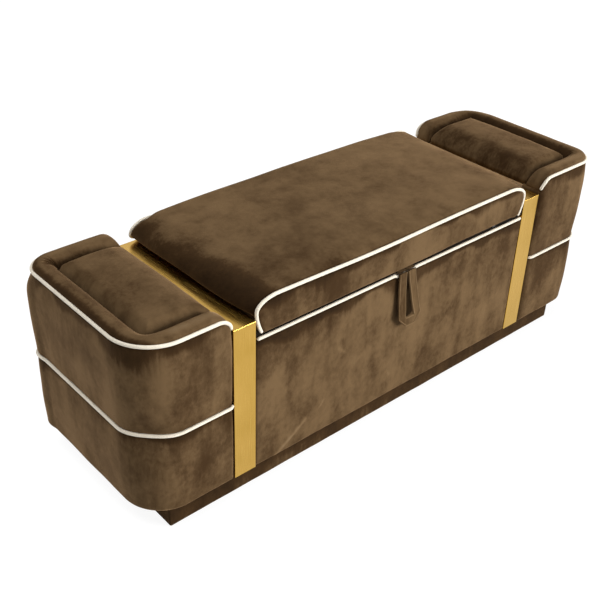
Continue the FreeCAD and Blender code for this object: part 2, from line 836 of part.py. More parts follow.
def body_screw_places():
    """Seats and directions of the screws that hold the hinges and studs to the box."""
    places = hinge_screw_places(rim_top + hinge_leaf, down)
    plate_x = cavity_x - liner_thickness - stay_plate
    stud = stay_stud_place()
    reach = stay_plate_length / 2 - stay_screw_edge
    for sign in (-1, 1):
        for y in (stud.y - reach, stud.y + reach):
            places.append((Vector(sign * plate_x, y, stud.z), right * sign))
    return places


def lid_screw_places():
    """Seats and directions of the screws that hold the hinges and brackets to the lid."""
    bottom = lid_bottom - hinge_leaf
    places = hinge_screw_places(bottom, up)
    pivot = stay_pivot_place()
    foot_x = bracket_tab_x() - bracket_foot_width / 2
    reach = bracket_length / 2 - bracket_screw_edge
    for sign in (-1, 1):
        for y in (pivot.y - reach, pivot.y + reach):
            places.append((Vector(sign * foot_x, y, bottom), up))
    return places


def make_hinges():
    half = hinge_length / 2
    middle = hinge_length / 6
    gap = hinge_knuckle_gap
    outer_knuckles = ((-half, -middle - gap), (middle + gap, half))
    inner_knuckle = ((-middle, middle),)
    body_holes = screws(body_screw_places(), screw_clearance)
    lid_holes = screws(lid_screw_places(), screw_clearance)
    body_leaves = []
    lid_leaves = []
    pins = []
    for x in hinge_places:
        body_leaves.append(hinge_leaf_shape(x, rim_top, outer_knuckles).cut(body_holes))
        lid_leaves.append(hinge_leaf_shape(x, lid_bottom - hinge_leaf, inner_knuckle).cut(lid_holes))
        pins.append(pin(Vector(x - half, hinge_y, hinge_z), right, hinge_length, hinge_pin_radius))
    parts["hinge_body_leaves"] = group(body_leaves)
    parts["hinge_lid_leaves"] = group(lid_leaves)
    parts["hinge_pins"] = group(pins)
    parts["body_screws"] = screws(body_screw_places())
    parts["lid_screws"] = screws(lid_screw_places())


def stay_pivot_place():
    """Bracket pivot on the closed lid."""
    return Vector(0, hinge_y - stay_reach, hinge_z - stay_pivot_drop)


def stay_stud_place():
    """Stud on the box side, on the pivot's own circle about the hinge."""
    circle = math.hypot(stay_reach, stay_pivot_drop)
    angle = math.radians(stay_stud_angle)
    return Vector(0, hinge_y - circle * math.cos(angle), hinge_z - circle * math.sin(angle))


def stay_arm_x():
    """Inner face of the right-hand arm; the stud plate and a gap lie outside it."""
    outside = stay_plate + stay_head_height + stay_side_gap
    return cavity_x - liner_thickness - outside - stay_arm_thickness


def bracket_tab_x():
    return stay_arm_x() - stay_side_gap


def stay_lengths():
    """Pivot to stud with the lid shut and with it fully open."""
    circle = math.hypot(stay_reach, stay_pivot_drop)
    shut = math.radians(stay_stud_angle) - math.atan2(stay_pivot_drop, stay_reach)
    opened = shut + math.radians(lid_opening_angle)
    return 2 * circle * math.sin(shut / 2), 2 * circle * math.sin(opened / 2)


def bar_shape(start, end, width, x0, x1):
    """Flat bar with round ends between two points in a plane across X."""
    along = (end - start).normalize()
    across = Vector(0, -along.z, along.y) * (width / 2)
    cap = along * (width / 2)
    wire = Part.Wire([
        line(start + across, end + across),
        arc(end + across, end + cap, end - across),
        line(end - across, start - across),
        arc(start - across, start - cap, start + across)])
    return prism_x(wire, x0, x1)


def make_stay_arms():
    pivot = stay_pivot_place()
    shut, opened = stay_lengths()
    along = (stay_stud_place() - pivot).normalize()
    arm_x = stay_arm_x()
    end = pivot + along * (opened + stay_arm_overrun)
    arm = bar_shape(pivot, end, stay_arm_width, arm_x, arm_x + stay_arm_thickness)
    slot_start = pivot + along * (shut - stay_slot_shut_room)
    slot_end = pivot + along * (opened + stay_slot_open_room)
    arm = arm.cut(bar_shape(slot_start, slot_end, stay_slot_width, 0, far))
    arm = arm.cut(bore(pivot, right, far, stay_pivot_radius + stay_pivot_clearance))
    for name, place in sides:
        parts["stay_arm_" + name] = place(arm)


def make_stay_brackets():
    """Angle bracket under the lid and the rivet that the arm turns on."""
    pivot = stay_pivot_place()
    tab_x = bracket_tab_x()
    half = bracket_length / 2
    boss = stay_arm_width / 2

    def at(y, z):
        return Vector(0, pivot.y + y, z)

    tab_wire = Part.Wire([
        line(at(-half, lid_bottom), at(half, lid_bottom)),
        line(at(half, lid_bottom), at(boss, pivot.z)),
        arc(at(boss, pivot.z), at(0, pivot.z - boss), at(-boss, pivot.z)),
        line(at(-boss, pivot.z), at(-half, lid_bottom))])
    tab = prism_x(tab_wire, tab_x - stay_plate, tab_x)
    foot = box(tab_x - bracket_foot_width, tab_x, pivot.y - half, pivot.y + half,
               lid_bottom - hinge_leaf, lid_bottom)
    bracket = foot.fuse(tab).removeSplitter()
    bracket = bracket.cut(pin(pivot, right, far, stay_pivot_radius))
    bracket = bracket.cut(screws(lid_screw_places(), screw_clearance))
    head_start = Vector(tab_x - stay_plate - stay_head_height, pivot.y, pivot.z)
    shank_end_x = stay_arm_x() + stay_arm_thickness + stay_side_gap / 2
    shank = pin(head_start, right, shank_end_x - head_start.x, stay_pivot_radius)
    head = facet_rod(head_start, right, stay_head_height, stay_head_radius, screw_sides)
    shank_end = Vector(shank_end_x, pivot.y, pivot.z)
    outer_head = facet_rod(shank_end, right, stay_head_height - stay_side_gap, stay_head_radius, screw_sides)
    rivet = shank.fuse(head).fuse(outer_head).removeSplitter()
    parts["stay_brackets"] = group([place(bracket) for _, place in sides])
    parts["stay_rivets"] = group([place(rivet) for _, place in sides])


def make_stay_studs():
    """Plate on the box side with the headed stud that runs in the arm's slot."""
    stud = stay_stud_place()
    plate_x = cavity_x - liner_thickness
    half_y = stay_plate_length / 2
    half_z = stay_plate_width / 2
    plate = box(plate_x - stay_plate, plate_x, stud.y - half_y, stud.y + half_y,
                stud.z - half_z, stud.z + half_z)
    plate = plate.cut(screws(body_screw_places(), screw_clearance))
    head_x = stay_arm_x() - stay_side_gap
    shank = pin(Vector(head_x, stud.y, stud.z), right, plate_x - head_x, stay_stud_radius)
    head_start = Vector(head_x - stay_head_height, stud.y, stud.z)
    head = facet_rod(head_start, right, stay_head_height, stay_head_radius, screw_sides)
    stud_shape = plate.fuse(shank).fuse(head).removeSplitter()
    parts["stay_studs"] = group([place(stud_shape) for _, place in sides])


def make_pull_loop():
    """Flat strap with two legs and mitred bottom corners, hung from the lid's front edge."""
    top = lid_bottom - loop_tab_thickness - loop_tab_gap
    bottom = top - loop_height
    strap = loop_strap
    right_top = loop_left + 2 * strap + loop_top_gap
    right_bottom = loop_left + 2 * strap + loop_spread
    leg_inside = right_top - strap
    left_inside = loop_left + strap
    bridge = top - strap

    def at(x, z):
        return Vector(x, 0, z)

    outer = [at(loop_left, top), at(loop_left, bottom + strap), at(left_inside, bottom),
             at(right_bottom - strap, bottom), at(right_bottom, bottom + strap), at(right_top, top)]
    inner = [at(left_inside, bridge), at(left_inside, bottom + strap),
             at(right_bottom - strap, bottom + strap), at(leg_inside, bridge)]
    flat = prism_y(rounded_path(outer, [0] * len(outer), closed=True), -far, 0)
    flat = flat.cut(prism_y(rounded_path(inner, [0] * len(inner), closed=True), -far, 0))
    near = -facing_y - loop_panel_gap
    off = near - loop_stand_off
    sag = near - loop_sag_share * loop_stand_off
    middle_z = (top + bottom) / 2

    def side(y, z):
        return Vector(0, y, z)

    curve = Part.Wire([
        arc(side(near, top), side(sag, middle_z), side(off, bottom)),
        line(side(off, bottom), side(off - loop_thickness, bottom)),
        arc(side(off - loop_thickness, bottom), side(sag - loop_thickness, middle_z),
            side(near - loop_thickness, top)),
        line(side(near - loop_thickness, top), side(near, top))])
    parts["pull_loop"] = flat.common(prism_x(curve, -far, far))
    tab_z = lid_bottom - loop_tab_thickness
    parts["pull_tabs"] = group([box(x, x + strap, near, near + loop_tab_depth, tab_z, lid_bottom)
                                for x in (loop_left, leg_inside)])


make_plinth()
make_deck()
make_box_panels()
make_facings()
make_bands()
make_blocks()
make_bolts()
make_lid()
make_hinges()
make_stay_arms()
make_stay_brackets()
make_stay_studs()
make_pull_loop()

os.makedirs("parts", exist_ok=True)
for node, shape in parts.items():
    shape.exportStep("parts/" + node + ".step")
    print(node, len(shape.Solids), shape.isValid(), round(shape.Volume, 1))
print("nodes", len(parts))
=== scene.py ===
import json
import math

import bmesh
import bpy
import numpy as np
from mathutils import Matrix, Vector, noise


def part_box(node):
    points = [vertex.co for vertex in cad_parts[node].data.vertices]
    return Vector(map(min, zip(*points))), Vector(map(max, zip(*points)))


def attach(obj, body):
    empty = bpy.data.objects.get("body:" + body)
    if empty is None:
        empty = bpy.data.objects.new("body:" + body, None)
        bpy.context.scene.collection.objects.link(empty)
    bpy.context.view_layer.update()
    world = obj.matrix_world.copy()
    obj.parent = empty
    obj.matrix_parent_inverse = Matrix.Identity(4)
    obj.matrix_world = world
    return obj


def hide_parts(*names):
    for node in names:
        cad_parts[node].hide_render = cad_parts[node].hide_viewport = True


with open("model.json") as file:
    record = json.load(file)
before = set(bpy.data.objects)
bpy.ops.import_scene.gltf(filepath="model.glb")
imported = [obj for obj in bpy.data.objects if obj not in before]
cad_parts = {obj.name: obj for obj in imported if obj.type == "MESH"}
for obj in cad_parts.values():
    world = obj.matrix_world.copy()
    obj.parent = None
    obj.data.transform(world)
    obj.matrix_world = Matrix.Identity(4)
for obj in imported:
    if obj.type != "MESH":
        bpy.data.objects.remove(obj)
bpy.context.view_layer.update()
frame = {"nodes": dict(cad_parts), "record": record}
nodes = frame["nodes"]

# Storage ottoman bench: velvet end blocks with a roll and a pad on top, brass bands,
# a padded lid with ivory piping between them and a recessed plinth.
# Metres, origin on the floor under the middle, front at -Y.
mm = 0.001

# Places read from the frame
upper_low, upper_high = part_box("block_upper_cover_right")
block_inner_x = upper_low.x
block_end_x = upper_high.x
block_y = upper_high.y
body_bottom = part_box("block_lower_cover_right")[0].z
former_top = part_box("block_top_former_right")[1].z
lid_low, lid_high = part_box("lid_cover")
lid_bottom = lid_low.z
lid_seam_y = lid_high.y
lid_face_y = -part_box("lid_front_panel")[0].y
facing_low, facing_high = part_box("box_front_facing")
facing_y = -facing_low.y
loop_low, loop_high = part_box("pull_loop")
strap_x = (loop_low.x + loop_high.x) / 2
tabs_low, tabs_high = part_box("pull_tabs")
plinth_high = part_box("plinth_cover")[1]
liner_low, liner_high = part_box("box_liner")
lid_lining_low, lid_lining_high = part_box("lid_lining")
dust_low, dust_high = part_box("dust_cover")
weld = 0.02 * mm

# Piping
piping_radius = 3.8 * mm
piping_proud = 0.4 * mm
piping_sides = 16
piping_step = 2.0 * mm
piping_end_angles = (2, 30, 60, 90)
piping_end_steps = 3
odd_direction = (0.31, 0.52, 0.79)
hatch_turns = 9
mid_seam_z = 252.0 * mm
top_seam_z = former_top + 34.5 * mm
mid_curl = 62.0
drop_radius = 32.0 * mm
drop_inset = 3.0 * mm
drop_end_angle = 4
drop_points = 26
box_piping_z = 387.5 * mm
box_piping_y = 209.0 * mm
box_piping_end = 418.0 * mm
box_piping_points = 401
piping_dip = 3.5 * mm
piping_dip_reach = 5.0 * mm

# End blocks: the right-hand one is drawn, and the left-hand one is the same turned half about
tight_round = 54.0 * mm
wide_round = 95.0 * mm
inner_round = 12.0 * mm
turn_in = 46.0 * mm
skin = 4.0 * mm
end_round = 12.0 * mm
front_round = 9.0 * mm
inner_edge_round = 4.0 * mm
underside = 24.0 * mm
upper_bulge = 5.0 * mm
upper_bulge_peak = 0.7
lower_bulge = 3.0 * mm
lower_bulge_peak = 0.5
bulge_power = 1.3
waist_depth = 8.0 * mm
waist_reach = 60.0 * mm
square_depth = 15.0 * mm
square_reach = 34.0 * mm
left_settling = 0.025
seam_dip = 4.2 * mm
seam_dip_reach = 4.5 * mm
upper_columns = 44
lower_columns = 36
lower_turn_points = 10

# Roll and pad; heights are above the block's top board
roll_width = 49.5 * mm
roll_inset = 1.0 * mm
roll_rise = 47.5 * mm
roll_outer_rise = 33.0 * mm
roll_crease_rise = 19.0 * mm
roll_crest = 0.40
roll_outer_power = 3.0
roll_inner_power = 2.0
roll_tries = 500
roll_columns = 34
roll_front_end = 36.0 * mm
roll_back_end = 34.0 * mm
pucker_depth = 8.0 * mm
pucker_folds = 5
pucker_start = 0.3
pucker_run = 0.6
pucker_power = 1.3
pad_gap = 1.2 * mm
pad_rise = 51.5 * mm
pad_crown = 7.0 * mm
pad_edge_rise = 13.0 * mm
pad_inner_shoulder = 58.0 * mm
pad_side_shoulder = 27.0 * mm
pad_tight_corner = 9.0 * mm
pad_wide_corner = 15.0 * mm
pad_inner_corner = 8.0 * mm
pad_rings = 28

# Lid: half of its section runs over a foot, side, belly, corner and top, each with so many points
lid_foot_points = 6
lid_side_points = 7
lid_belly_points = 12
lid_corner_points = 22
lid_top_points = 60
lid_front_rows = 40
lid_middle_rows = 24
lid_nose_rows = 18
lid_low_x = 405.0 * mm
lid_seam_x = 421.0 * mm
lid_seam_top = lid_bottom + 82.5 * mm
lid_corner = 60.0 * mm
lid_neck = np.array((417.4, 434.5)) * mm
lid_bulge = np.array((418.5, 449.0)) * mm
lid_foot_out = np.array((5.9, 12.2)) * mm
lid_neck_up = np.array((1.0, 6.0)) * mm
lid_bulge_up = np.array((0.0, 5.0)) * mm
lid_corner_up = np.array((0.0, 16.0)) * mm
lid_corner_out = np.array((34.0, 0.0)) * mm
lid_side_x = 440.0 * mm
lid_side_z = 451.0 * mm
lid_belly_out = np.array((1.5, 9.0)) * mm
lid_belly_up = np.array((1.0, 8.0)) * mm
lid_side_up = np.array((0.0, 21.0)) * mm
lid_side_hold = 2.2
lid_top_out = np.array((49.0, -1.0)) * mm
lid_crown = 15.0 * mm
lid_crown_edge = 8.3 * mm
lid_front_fullness = 4
lid_nose = 16.0 * mm
lid_nose_start = 8.0 * mm
lid_nose_turn = 150.0
lid_back_rise = 4.0 * mm
lid_back_spread = 2.0 * mm
lid_edge_round = 3.0 * mm
lid_under = 16.0 * mm
lid_skin = 3.0 * mm
lid_piping_gap = 0.2 * mm
lid_piping_y = lid_seam_y + lid_piping_gap + piping_radius
lid_sag = 5.0 * mm
lid_sag_x = -90.0 * mm
lid_sag_reach = 190.0 * mm
lid_sag_power = 5
panel_inset = 3.2 * mm
panel_puff = 2.0 * mm
panel_puff_reach = 40.0 * mm
panel_columns = 141
panel_rows = 26
panel_rim = 5.0 * mm
panel_skin = 6.0 * mm
panel_lift = 1.5 * mm
panel_gap = 4.0 * mm
panel_gap_reach = 260.0 * mm

# Front and back faces of the box, and the plinth's wrap: its shares of height and how far inward it lies
facing_edge = 6.0 * mm
facing_depth = 8.0 * mm
facing_columns = 190
facing_rows = 84
crease_height = 1.4 * mm
plinth_hem = 1.0 * mm
plinth_corner = 4.0 * mm
plinth_counts = (150, 40, 7)
plinth_heights = np.array((0, 0, 0.03, 0.1, 0.3, 0.5, 0.7, 0.9, 1, 1))
plinth_inward = np.array((1.9, 1.0, 0.3, 0, -0.3, -0.4, -0.3, 0, 0.2, 1.9)) * mm

# Pull strap
strap_width = 25.0 * mm
strap_gap = 2.0 * mm
strap_plate = 1.5 * mm
strap_bead = 1.7 * mm
strap_bead_place = 2.8 * mm
strap_bead_reach = 1.5 * mm
strap_edge = 2.0 * mm
strap_stand_off = 12.0 * mm
strap_curve = 0.8
strap_middle = 2.5 * mm
strap_step = 3.0 * mm
strap_points = 33
strap_end_rows = 12

# Linings: counts are points along the long and short sides and round a corner
lining_rim = 16.5 * mm
lining_thickness = 1.3 * mm
lining_corner = 6.0 * mm
lining_floor_round = 7.0 * mm
lining_lip = 2.5 * mm
lining_slit = 1.0 * mm
lining_counts = (44, 12, 6)
lining_wall_rows = 24
lining_floor_rows = 14
lining_turn_points = 6
lining_hem = (0.6 * mm, 0.3 * mm)
lining_thread = 1.6 * mm
lining_middle = (0, 0, 0.22)
lining_wall_share = 0.8
lining_rim_share = 0.6
cloth_thickness = 0.9 * mm
cloth_edge = 3.0 * mm
cloth_columns = 80
cloth_rows = 40
ripple_depth = 0.15 * mm
ripple_length = 9.0 * mm
ripple_reach = 12.0 * mm

# Unevenness of hand-made padding: depth and size of its bumps
block_unevenness = (1.1 * mm, 70.0 * mm)
roll_unevenness = (0.7 * mm, 45.0 * mm)
pad_unevenness = (1.2 * mm, 60.0 * mm)
lid_unevenness = (1.8 * mm, 130.0 * mm)
panel_unevenness = (1.0 * mm, 80.0 * mm)
facing_unevenness = (1.0 * mm, 110.0 * mm)
plinth_unevenness = (0.6 * mm, 50.0 * mm)
strap_unevenness = (0.6 * mm, 25.0 * mm)
lining_unevenness = (0.8 * mm, 60.0 * mm)

# Velvet pile: tones at its darkest and full, how dark it is pressed beside seams, and painted shade and
# painted highlights on some parts
pressed_and_shaded_tone = 0.38
full_tone = 0.8
pile_shift = (0.9, 0.5, 0.7)
wander_swing = 1.6
reach_change = 0.9
lid_reach_change = 0.7
least_reach = 0.3
most_reach = 2.2
lid_most_reach = 2.0
facing_most_reach = 2.4
block_wander = 75.0 * mm
face_wander = 80.0 * mm
lid_wander = 90.0 * mm
corner_press_and_shade_reach = 0.8 * wide_round
upper_top_press = 0.85
upper_low_press = 0.3
upper_press_reach = 28.0 * mm
upper_end_reach = 24.0 * mm
upper_corner_reach = 10.0 * mm
lower_press = 0.65
lower_press_reach = 26.0 * mm
# painted shade on the lower covers' outer corners
lower_corner_shade = 0.4
# Roll: painted shade in its crease, beside its piping and on its end run; painted highlights on its crest
# and front run
roll_crease_shade = 0.5
roll_crease_shade_share = 0.35
roll_edge_shade = 0.35
roll_crest_highlight = 0.2
roll_line_share = 0.2
roll_front_light = 0.4
roll_front_light_share = 0.4
roll_end_shade = 0.5
# Pad: painted shade on its top and on its inner side beside the lid
pad_top_shade = 0.42
pad_top_reach = 14.0 * mm
pad_inner_shade = 0.5
pad_inner_reach = 34.0 * mm
lid_side_darkening = 0.75
lid_front_darkening = 0.25
lid_darkening_reach = 50.0 * mm
panel_press = 0.85
panel_press_reach = 24.0 * mm
facing_press = 0.9
facing_press_reach = 28.0 * mm
# painted shadow of the pull strap on the front face, also standing for pile pressed by it
strap_shadow_and_mark = 0.45
strap_shadow_reach = 14.0 * mm
# painted shade over the plinth, deepest under the body's overhang
plinth_shade = 0.6
plinth_overhang_shadow = 0.4
plinth_shadow_reach = 22.0 * mm
# darker strap, with painted highlights on its beads
strap_darkening = 0.45
bead_highlight = 1.0

# Photograph's camera
camera_place = (-1400.35 * mm, -1427.17 * mm, 1486.15 * mm)
camera_azimuth = -41.917
camera_elevation = 32.668
camera_roll = 1.795
image_size = 600
focal_pixels = 960.06
sensor_width = 36.0

# Studio: lamps have a name, a place, a size and a power in watts
lamps = (("key", (10.4, -16.6, 3.4), 9.0, 6600),
         ("fill", (-8.0, 1.5, 3.0), 4.0, 30),
         ("over", (-1.6, 1.0, 7.0), 5.0, 390))
lamp_target = (0, 0, 0.25)
world_light = 0.23
floor_reach = 30.0
floor_colour = (0.86, 0.86, 0.86, 1)
floor_glow = 1.14
floor_glow_share = 0.8
view_depth = 100.0


# Node helpers

def plug(tree, value, socket):
    if isinstance(value, bpy.types.NodeSocket):
        tree.links.new(value, socket)
    else:
        socket.default_value = value


def node(tree, kind, inputs=None, **settings):
    made = tree.nodes.new(kind)
    for name, value in settings.items():
        setattr(made, name, value)
    for name, value in (inputs or {}).items():
        plug(tree, value, made.inputs[name])
    return made


def new_material(name, **values):
    made = bpy.data.materials.new(name)
    made.use_nodes = True
    tree = made.node_tree
    shader = tree.nodes["Principled BSDF"]
    for key, value in values.items():
        plug(tree, value, shader.inputs[key.replace("_", " ")])
    return made, tree, shader


def object_place(tree, scale=(1, 1, 1), turn=(0, 0, 0)):
    place = node(tree, "ShaderNodeTexCoord").outputs["Object"]
    mapping = node(tree, "ShaderNodeMapping", {"Vector": place, "Scale": scale})
    mapping.inputs["Rotation"].default_value = [math.radians(a) for a in turn]
    return mapping.outputs["Vector"]


def clouds(tree, place, scale, detail=3.0, rough=0.55, distortion=0.0):
    made = node(tree, "ShaderNodeTexNoise", {
        "Vector": place, "Scale": scale, "Detail": detail,
        "Roughness": rough, "Distortion": distortion})
    return made.outputs["Fac"]


def math_node(tree, operation, first, second=0.0, third=0.0):
    made = node(tree, "ShaderNodeMath", operation=operation)
    plug(tree, first, made.inputs[0])
    plug(tree, second, made.inputs[1])
    plug(tree, third, made.inputs[2])
    return made.outputs[0]


def weighted(tree, *terms):
    """Sum of values times weights."""
    total = math_node(tree, "MULTIPLY", *terms[0])
    for value, weight in terms[1:]:
        total = math_node(tree, "MULTIPLY_ADD", value, weight, total)
    return total


def spread(tree, value, low, high, to_low=0.0, to_high=1.0):
    made = node(tree, "ShaderNodeMapRange", {
        "Value": value, "From Min": low, "From Max": high,
        "To Min": to_low, "To Max": to_high}, interpolation_type="SMOOTHSTEP")
    return made.outputs["Result"]


def ramp(tree, value, stops):
    made = node(tree, "ShaderNodeValToRGB", {"Fac": value})
    elements = made.color_ramp.elements
    while len(elements) < len(stops):
        elements.new(0.5)
    for element, (position, colour) in zip(elements, stops):
        element.position = position
        element.color = (*colour, 1.0)
    return made.outputs["Color"]


def bump(tree, height, strength, distance, below=None):
    inputs = {"Height": height, "Strength": strength, "Distance": distance}
    if below is not None:
        inputs["Normal"] = below
    return node(tree, "ShaderNodeBump", inputs).outputs["Normal"]


# Materials

def coated(made, tree, shader, colour, relief, roughness=None):
    plug(tree, colour, shader.inputs["Base Color"])
    plug(tree, relief, shader.inputs["Normal"])
    if roughness is not None:
        plug(tree, roughness, shader.inputs["Roughness"])
    return made


def velvet_material():
    """Brown velvet: cloudy pile with ragged brushed edges, pressed dark beside seams, and a warm sheen;
    per-point values also darken it with painted shade and lighten it with painted highlights.
    """
    made, tree, shader = new_material(
        "velvet_cloth", Roughness=0.9, Sheen_Weight=0.44, Sheen_Roughness=0.34,
        Sheen_Tint=(1.0, 0.63, 0.33, 1.0), Specular_IOR_Level=0.05)
    place = object_place(tree)
    tuft = clouds(tree, object_place(tree, (300, 300, 60)), 1.0, 2.0, 0.6)
    lie = node(tree, "ShaderNodeCombineXYZ", {
        "X": weighted(tree, (tuft, 0.005)), "Z": weighted(tree, (tuft, 0.016))}).outputs[0]
    ragged = node(tree, "ShaderNodeVectorMath", {0: place, 1: lie}, operation="ADD").outputs[0]
    shifted = node(tree, "ShaderNodeVectorMath", {0: ragged, 1: pile_shift}, operation="ADD").outputs[0]
    large = clouds(tree, shifted, 3.8, 2.5, 0.5, 0.5)
    blotch = clouds(tree, ragged, 15.0, 4.0, 0.6, 0.3)
    mottle = clouds(tree, ragged, 75.0, 5.0, 0.7, 0.2)
    sweep = clouds(tree, object_place(tree, (24, 24, 6), (10, 6, 0)), 1.0, 3.0, 0.5, 0.2)
    teeth = clouds(tree, object_place(tree, (130, 130, 17), (5, 4, 0)), 1.0, 3.0, 0.6, 0.2)
    grain = clouds(tree, place, 1300.0, 2.0, 0.6)
    # per point: pile pressed beside seams and painted shade above 0, painted highlights below 0
    pile_press_and_light = node(tree, "ShaderNodeAttribute", attribute_name="press_and_painted_light").outputs["Fac"]
    edge = weighted(tree, (pile_press_and_light, 1.0), (teeth, 0.5), (blotch, 1.1), (mottle, 0.3))
    # darker where the pile is pressed and where shade is painted, broken up by noise
    press_and_shade_darkening = spread(tree, edge, 1.14, 1.78)
    # lighter where a highlight is painted
    ridge_and_highlight = math_node(tree, "MINIMUM", pile_press_and_light, 0.0)
    pile = weighted(tree, (large, 0.28), (blotch, 0.18), (mottle, 0.18), (sweep, 0.26), (grain, 0.10))
    up = node(tree, "ShaderNodeSeparateXYZ", {
        "Vector": node(tree, "ShaderNodeNewGeometry").outputs["Normal"]}).outputs["Z"]
    smoothed = math_node(tree, "MULTIPLY_ADD", math_node(tree, "ABSOLUTE", up), -0.35, 1.0)
    stirred = math_node(tree, "MULTIPLY", math_node(tree, "SUBTRACT", pile, 0.5), smoothed)
    level = spread(tree, stirred, -0.115, 0.095, pressed_and_shaded_tone, full_tone)
    tone = weighted(tree, (level, 1.0), (press_and_shade_darkening, -pressed_and_shaded_tone), (ridge_and_highlight, pressed_and_shaded_tone - full_tone))
    colour = ramp(tree, tone, [
        (0.0, (0.013, 0.0060, 0.0018)),
        (pressed_and_shaded_tone, (0.034, 0.0172, 0.0060)),
        (full_tone, (0.120, 0.0740, 0.0350)),
        (1.0, (0.150, 0.0980, 0.0510))])
    soft = bump(tree, mottle, 0.14, 3.0 * mm)
    return coated(made, tree, shader, colour, bump(tree, grain, 0.30, 0.6 * mm, soft))


def piping_material():
    """Ivory piping: bias-cut cloth over a cord, with fine slanting threads."""
    made, tree, shader = new_material(
        "piping_cloth", Roughness=0.7, Sheen_Weight=0.1, Specular_IOR_Level=0.25)
    flat = node(tree, "ShaderNodeUVMap", uv_map="UVMap").outputs["UV"]
    split = node(tree, "ShaderNodeSeparateXYZ", {"Vector": flat})
    slant = math_node(tree, "ADD", split.outputs["X"], split.outputs["Y"])
    wave = math_node(tree, "SINE", math_node(tree, "MULTIPLY", slant, 2 * math.pi))
    thread = spread(tree, wave, -0.9, 0.6)
    soil = clouds(tree, object_place(tree), 35.0, 3.0)
    colour = ramp(tree, weighted(tree, (thread, 0.7), (soil, 0.4)), [
        (0.0, (0.47, 0.40, 0.29)),
        (0.5, (0.72, 0.65, 0.53)),
        (1.0, (0.82, 0.76, 0.65))])
    return coated(made, tree, shader, colour, bump(tree, thread, 0.5, 0.5 * mm))


def brass_material():
    """Satin brass with fine lengthwise brush marks."""
    made, tree, shader = new_material("brass_satin", Metallic=1.0, Anisotropic=0.4)
    fine = clouds(tree, object_place(tree, (900, 14, 14)), 1.0, 3.0, 0.6)
    cloudy = clouds(tree, object_place(tree), 9.0, 2.0)
    tone = weighted(tree, (fine, 0.5), (cloudy, 0.5))
    colour = ramp(tree, spread(tree, tone, 0.3, 0.7), [
        (0.0, (0.49, 0.295, 0.052)),
        (1.0, (0.60, 0.370, 0.085))])
    roughness = spread(tree, fine, 0.3, 0.7, 0.18, 0.28)
    return coated(made, tree, shader, colour, bump(tree, fine, 0.08, 0.2 * mm), roughness)


def steel_material():
    """Zinc-plated steel of the hinges, stays and screws."""
    made, tree, shader = new_material("steel_zinc", Metallic=1.0)
    cloudy = clouds(tree, object_place(tree), 60.0, 4.0, 0.6)
    scratch = clouds(tree, object_place(tree, (40, 700, 700)), 1.0, 2.0)
    colour = ramp(tree, cloudy, [(0.3, (0.46, 0.46, 0.45)), (0.7, (0.64, 0.63, 0.61))])
    roughness = spread(tree, scratch, 0.3, 0.7, 0.25, 0.42)
    return coated(made, tree, shader, colour, bump(tree, scratch, 0.1, 0.2 * mm), roughness)


def plywood_material():
    """Pale birch plywood with a soft grain."""
    made, tree, shader = new_material("plywood_birch", Roughness=0.6, Specular_IOR_Level=0.3)
    grain = clouds(tree, object_place(tree, (6, 90, 90)), 1.0, 4.0, 0.6, 0.5)
    fleck = clouds(tree, object_place(tree, (60, 900, 900)), 1.0, 2.0)
    tone = weighted(tree, (fleck, 0.25), (grain, 0.75))
    colour = ramp(tree, tone, [(0.3, (0.40, 0.26, 0.14)), (0.7, (0.62, 0.46, 0.29))])
    return coated(made, tree, shader, colour, bump(tree, tone, 0.15, 0.4 * mm))


def lining_material():
    """Dark brown plain-woven lining: two sets of threads crossing."""
    made, tree, shader = new_material(
        "lining_cloth", Roughness=0.85, Sheen_Weight=0.03, Specular_IOR_Level=0.1)
    place = node(tree, "ShaderNodeSeparateXYZ", {"Vector": object_place(tree)})
    turns = 2 * math.pi / lining_thread
    waves = [math_node(tree, "SINE", math_node(tree, "MULTIPLY", place.outputs[axis], turns))
             for axis in "XYZ"]
    weave = math_node(tree, "MULTIPLY", waves[0], waves[1])
    weave = math_node(tree, "MULTIPLY_ADD", waves[2], math_node(tree, "ADD", waves[0], waves[1]), weave)
    cloudy = clouds(tree, object_place(tree), 18.0, 4.0, 0.6)
    tone = weighted(tree, (spread(tree, weave, -1.0, 1.0), 0.5), (cloudy, 0.5))
    colour = ramp(tree, tone, [(0.2, (0.018, 0.013, 0.009)), (0.8, (0.050, 0.038, 0.027))])
    return coated(made, tree, shader, colour, bump(tree, weave, 0.3, 0.4 * mm))


def felt_material():
    """Dark grey pressed felt."""
    made, tree, shader = new_material("felt_pressed", Roughness=0.95, Sheen_Weight=0.2)
    fibre = clouds(tree, object_place(tree), 420.0, 4.0, 0.7, 1.0)
    colour = ramp(tree, fibre, [(0.3, (0.02, 0.018, 0.016)), (0.7, (0.05, 0.046, 0.042))])
    return coated(made, tree, shader, colour, bump(tree, fibre, 0.5, 0.8 * mm))


velvet = velvet_material()
piping = piping_material()
brass = brass_material()
steel = steel_material()
plywood = plywood_material()
lining = lining_material()
felt = felt_material()


# Mesh helpers

def new_object(name, data):
    made = bpy.data.objects.new(name, data)
    bpy.context.scene.collection.objects.link(made)
    return made


def xyz(x, y, z):
    """Points from their coordinates, each an array or one value for all."""
    return np.stack(np.broadcast_arrays(x, y, z), -1)


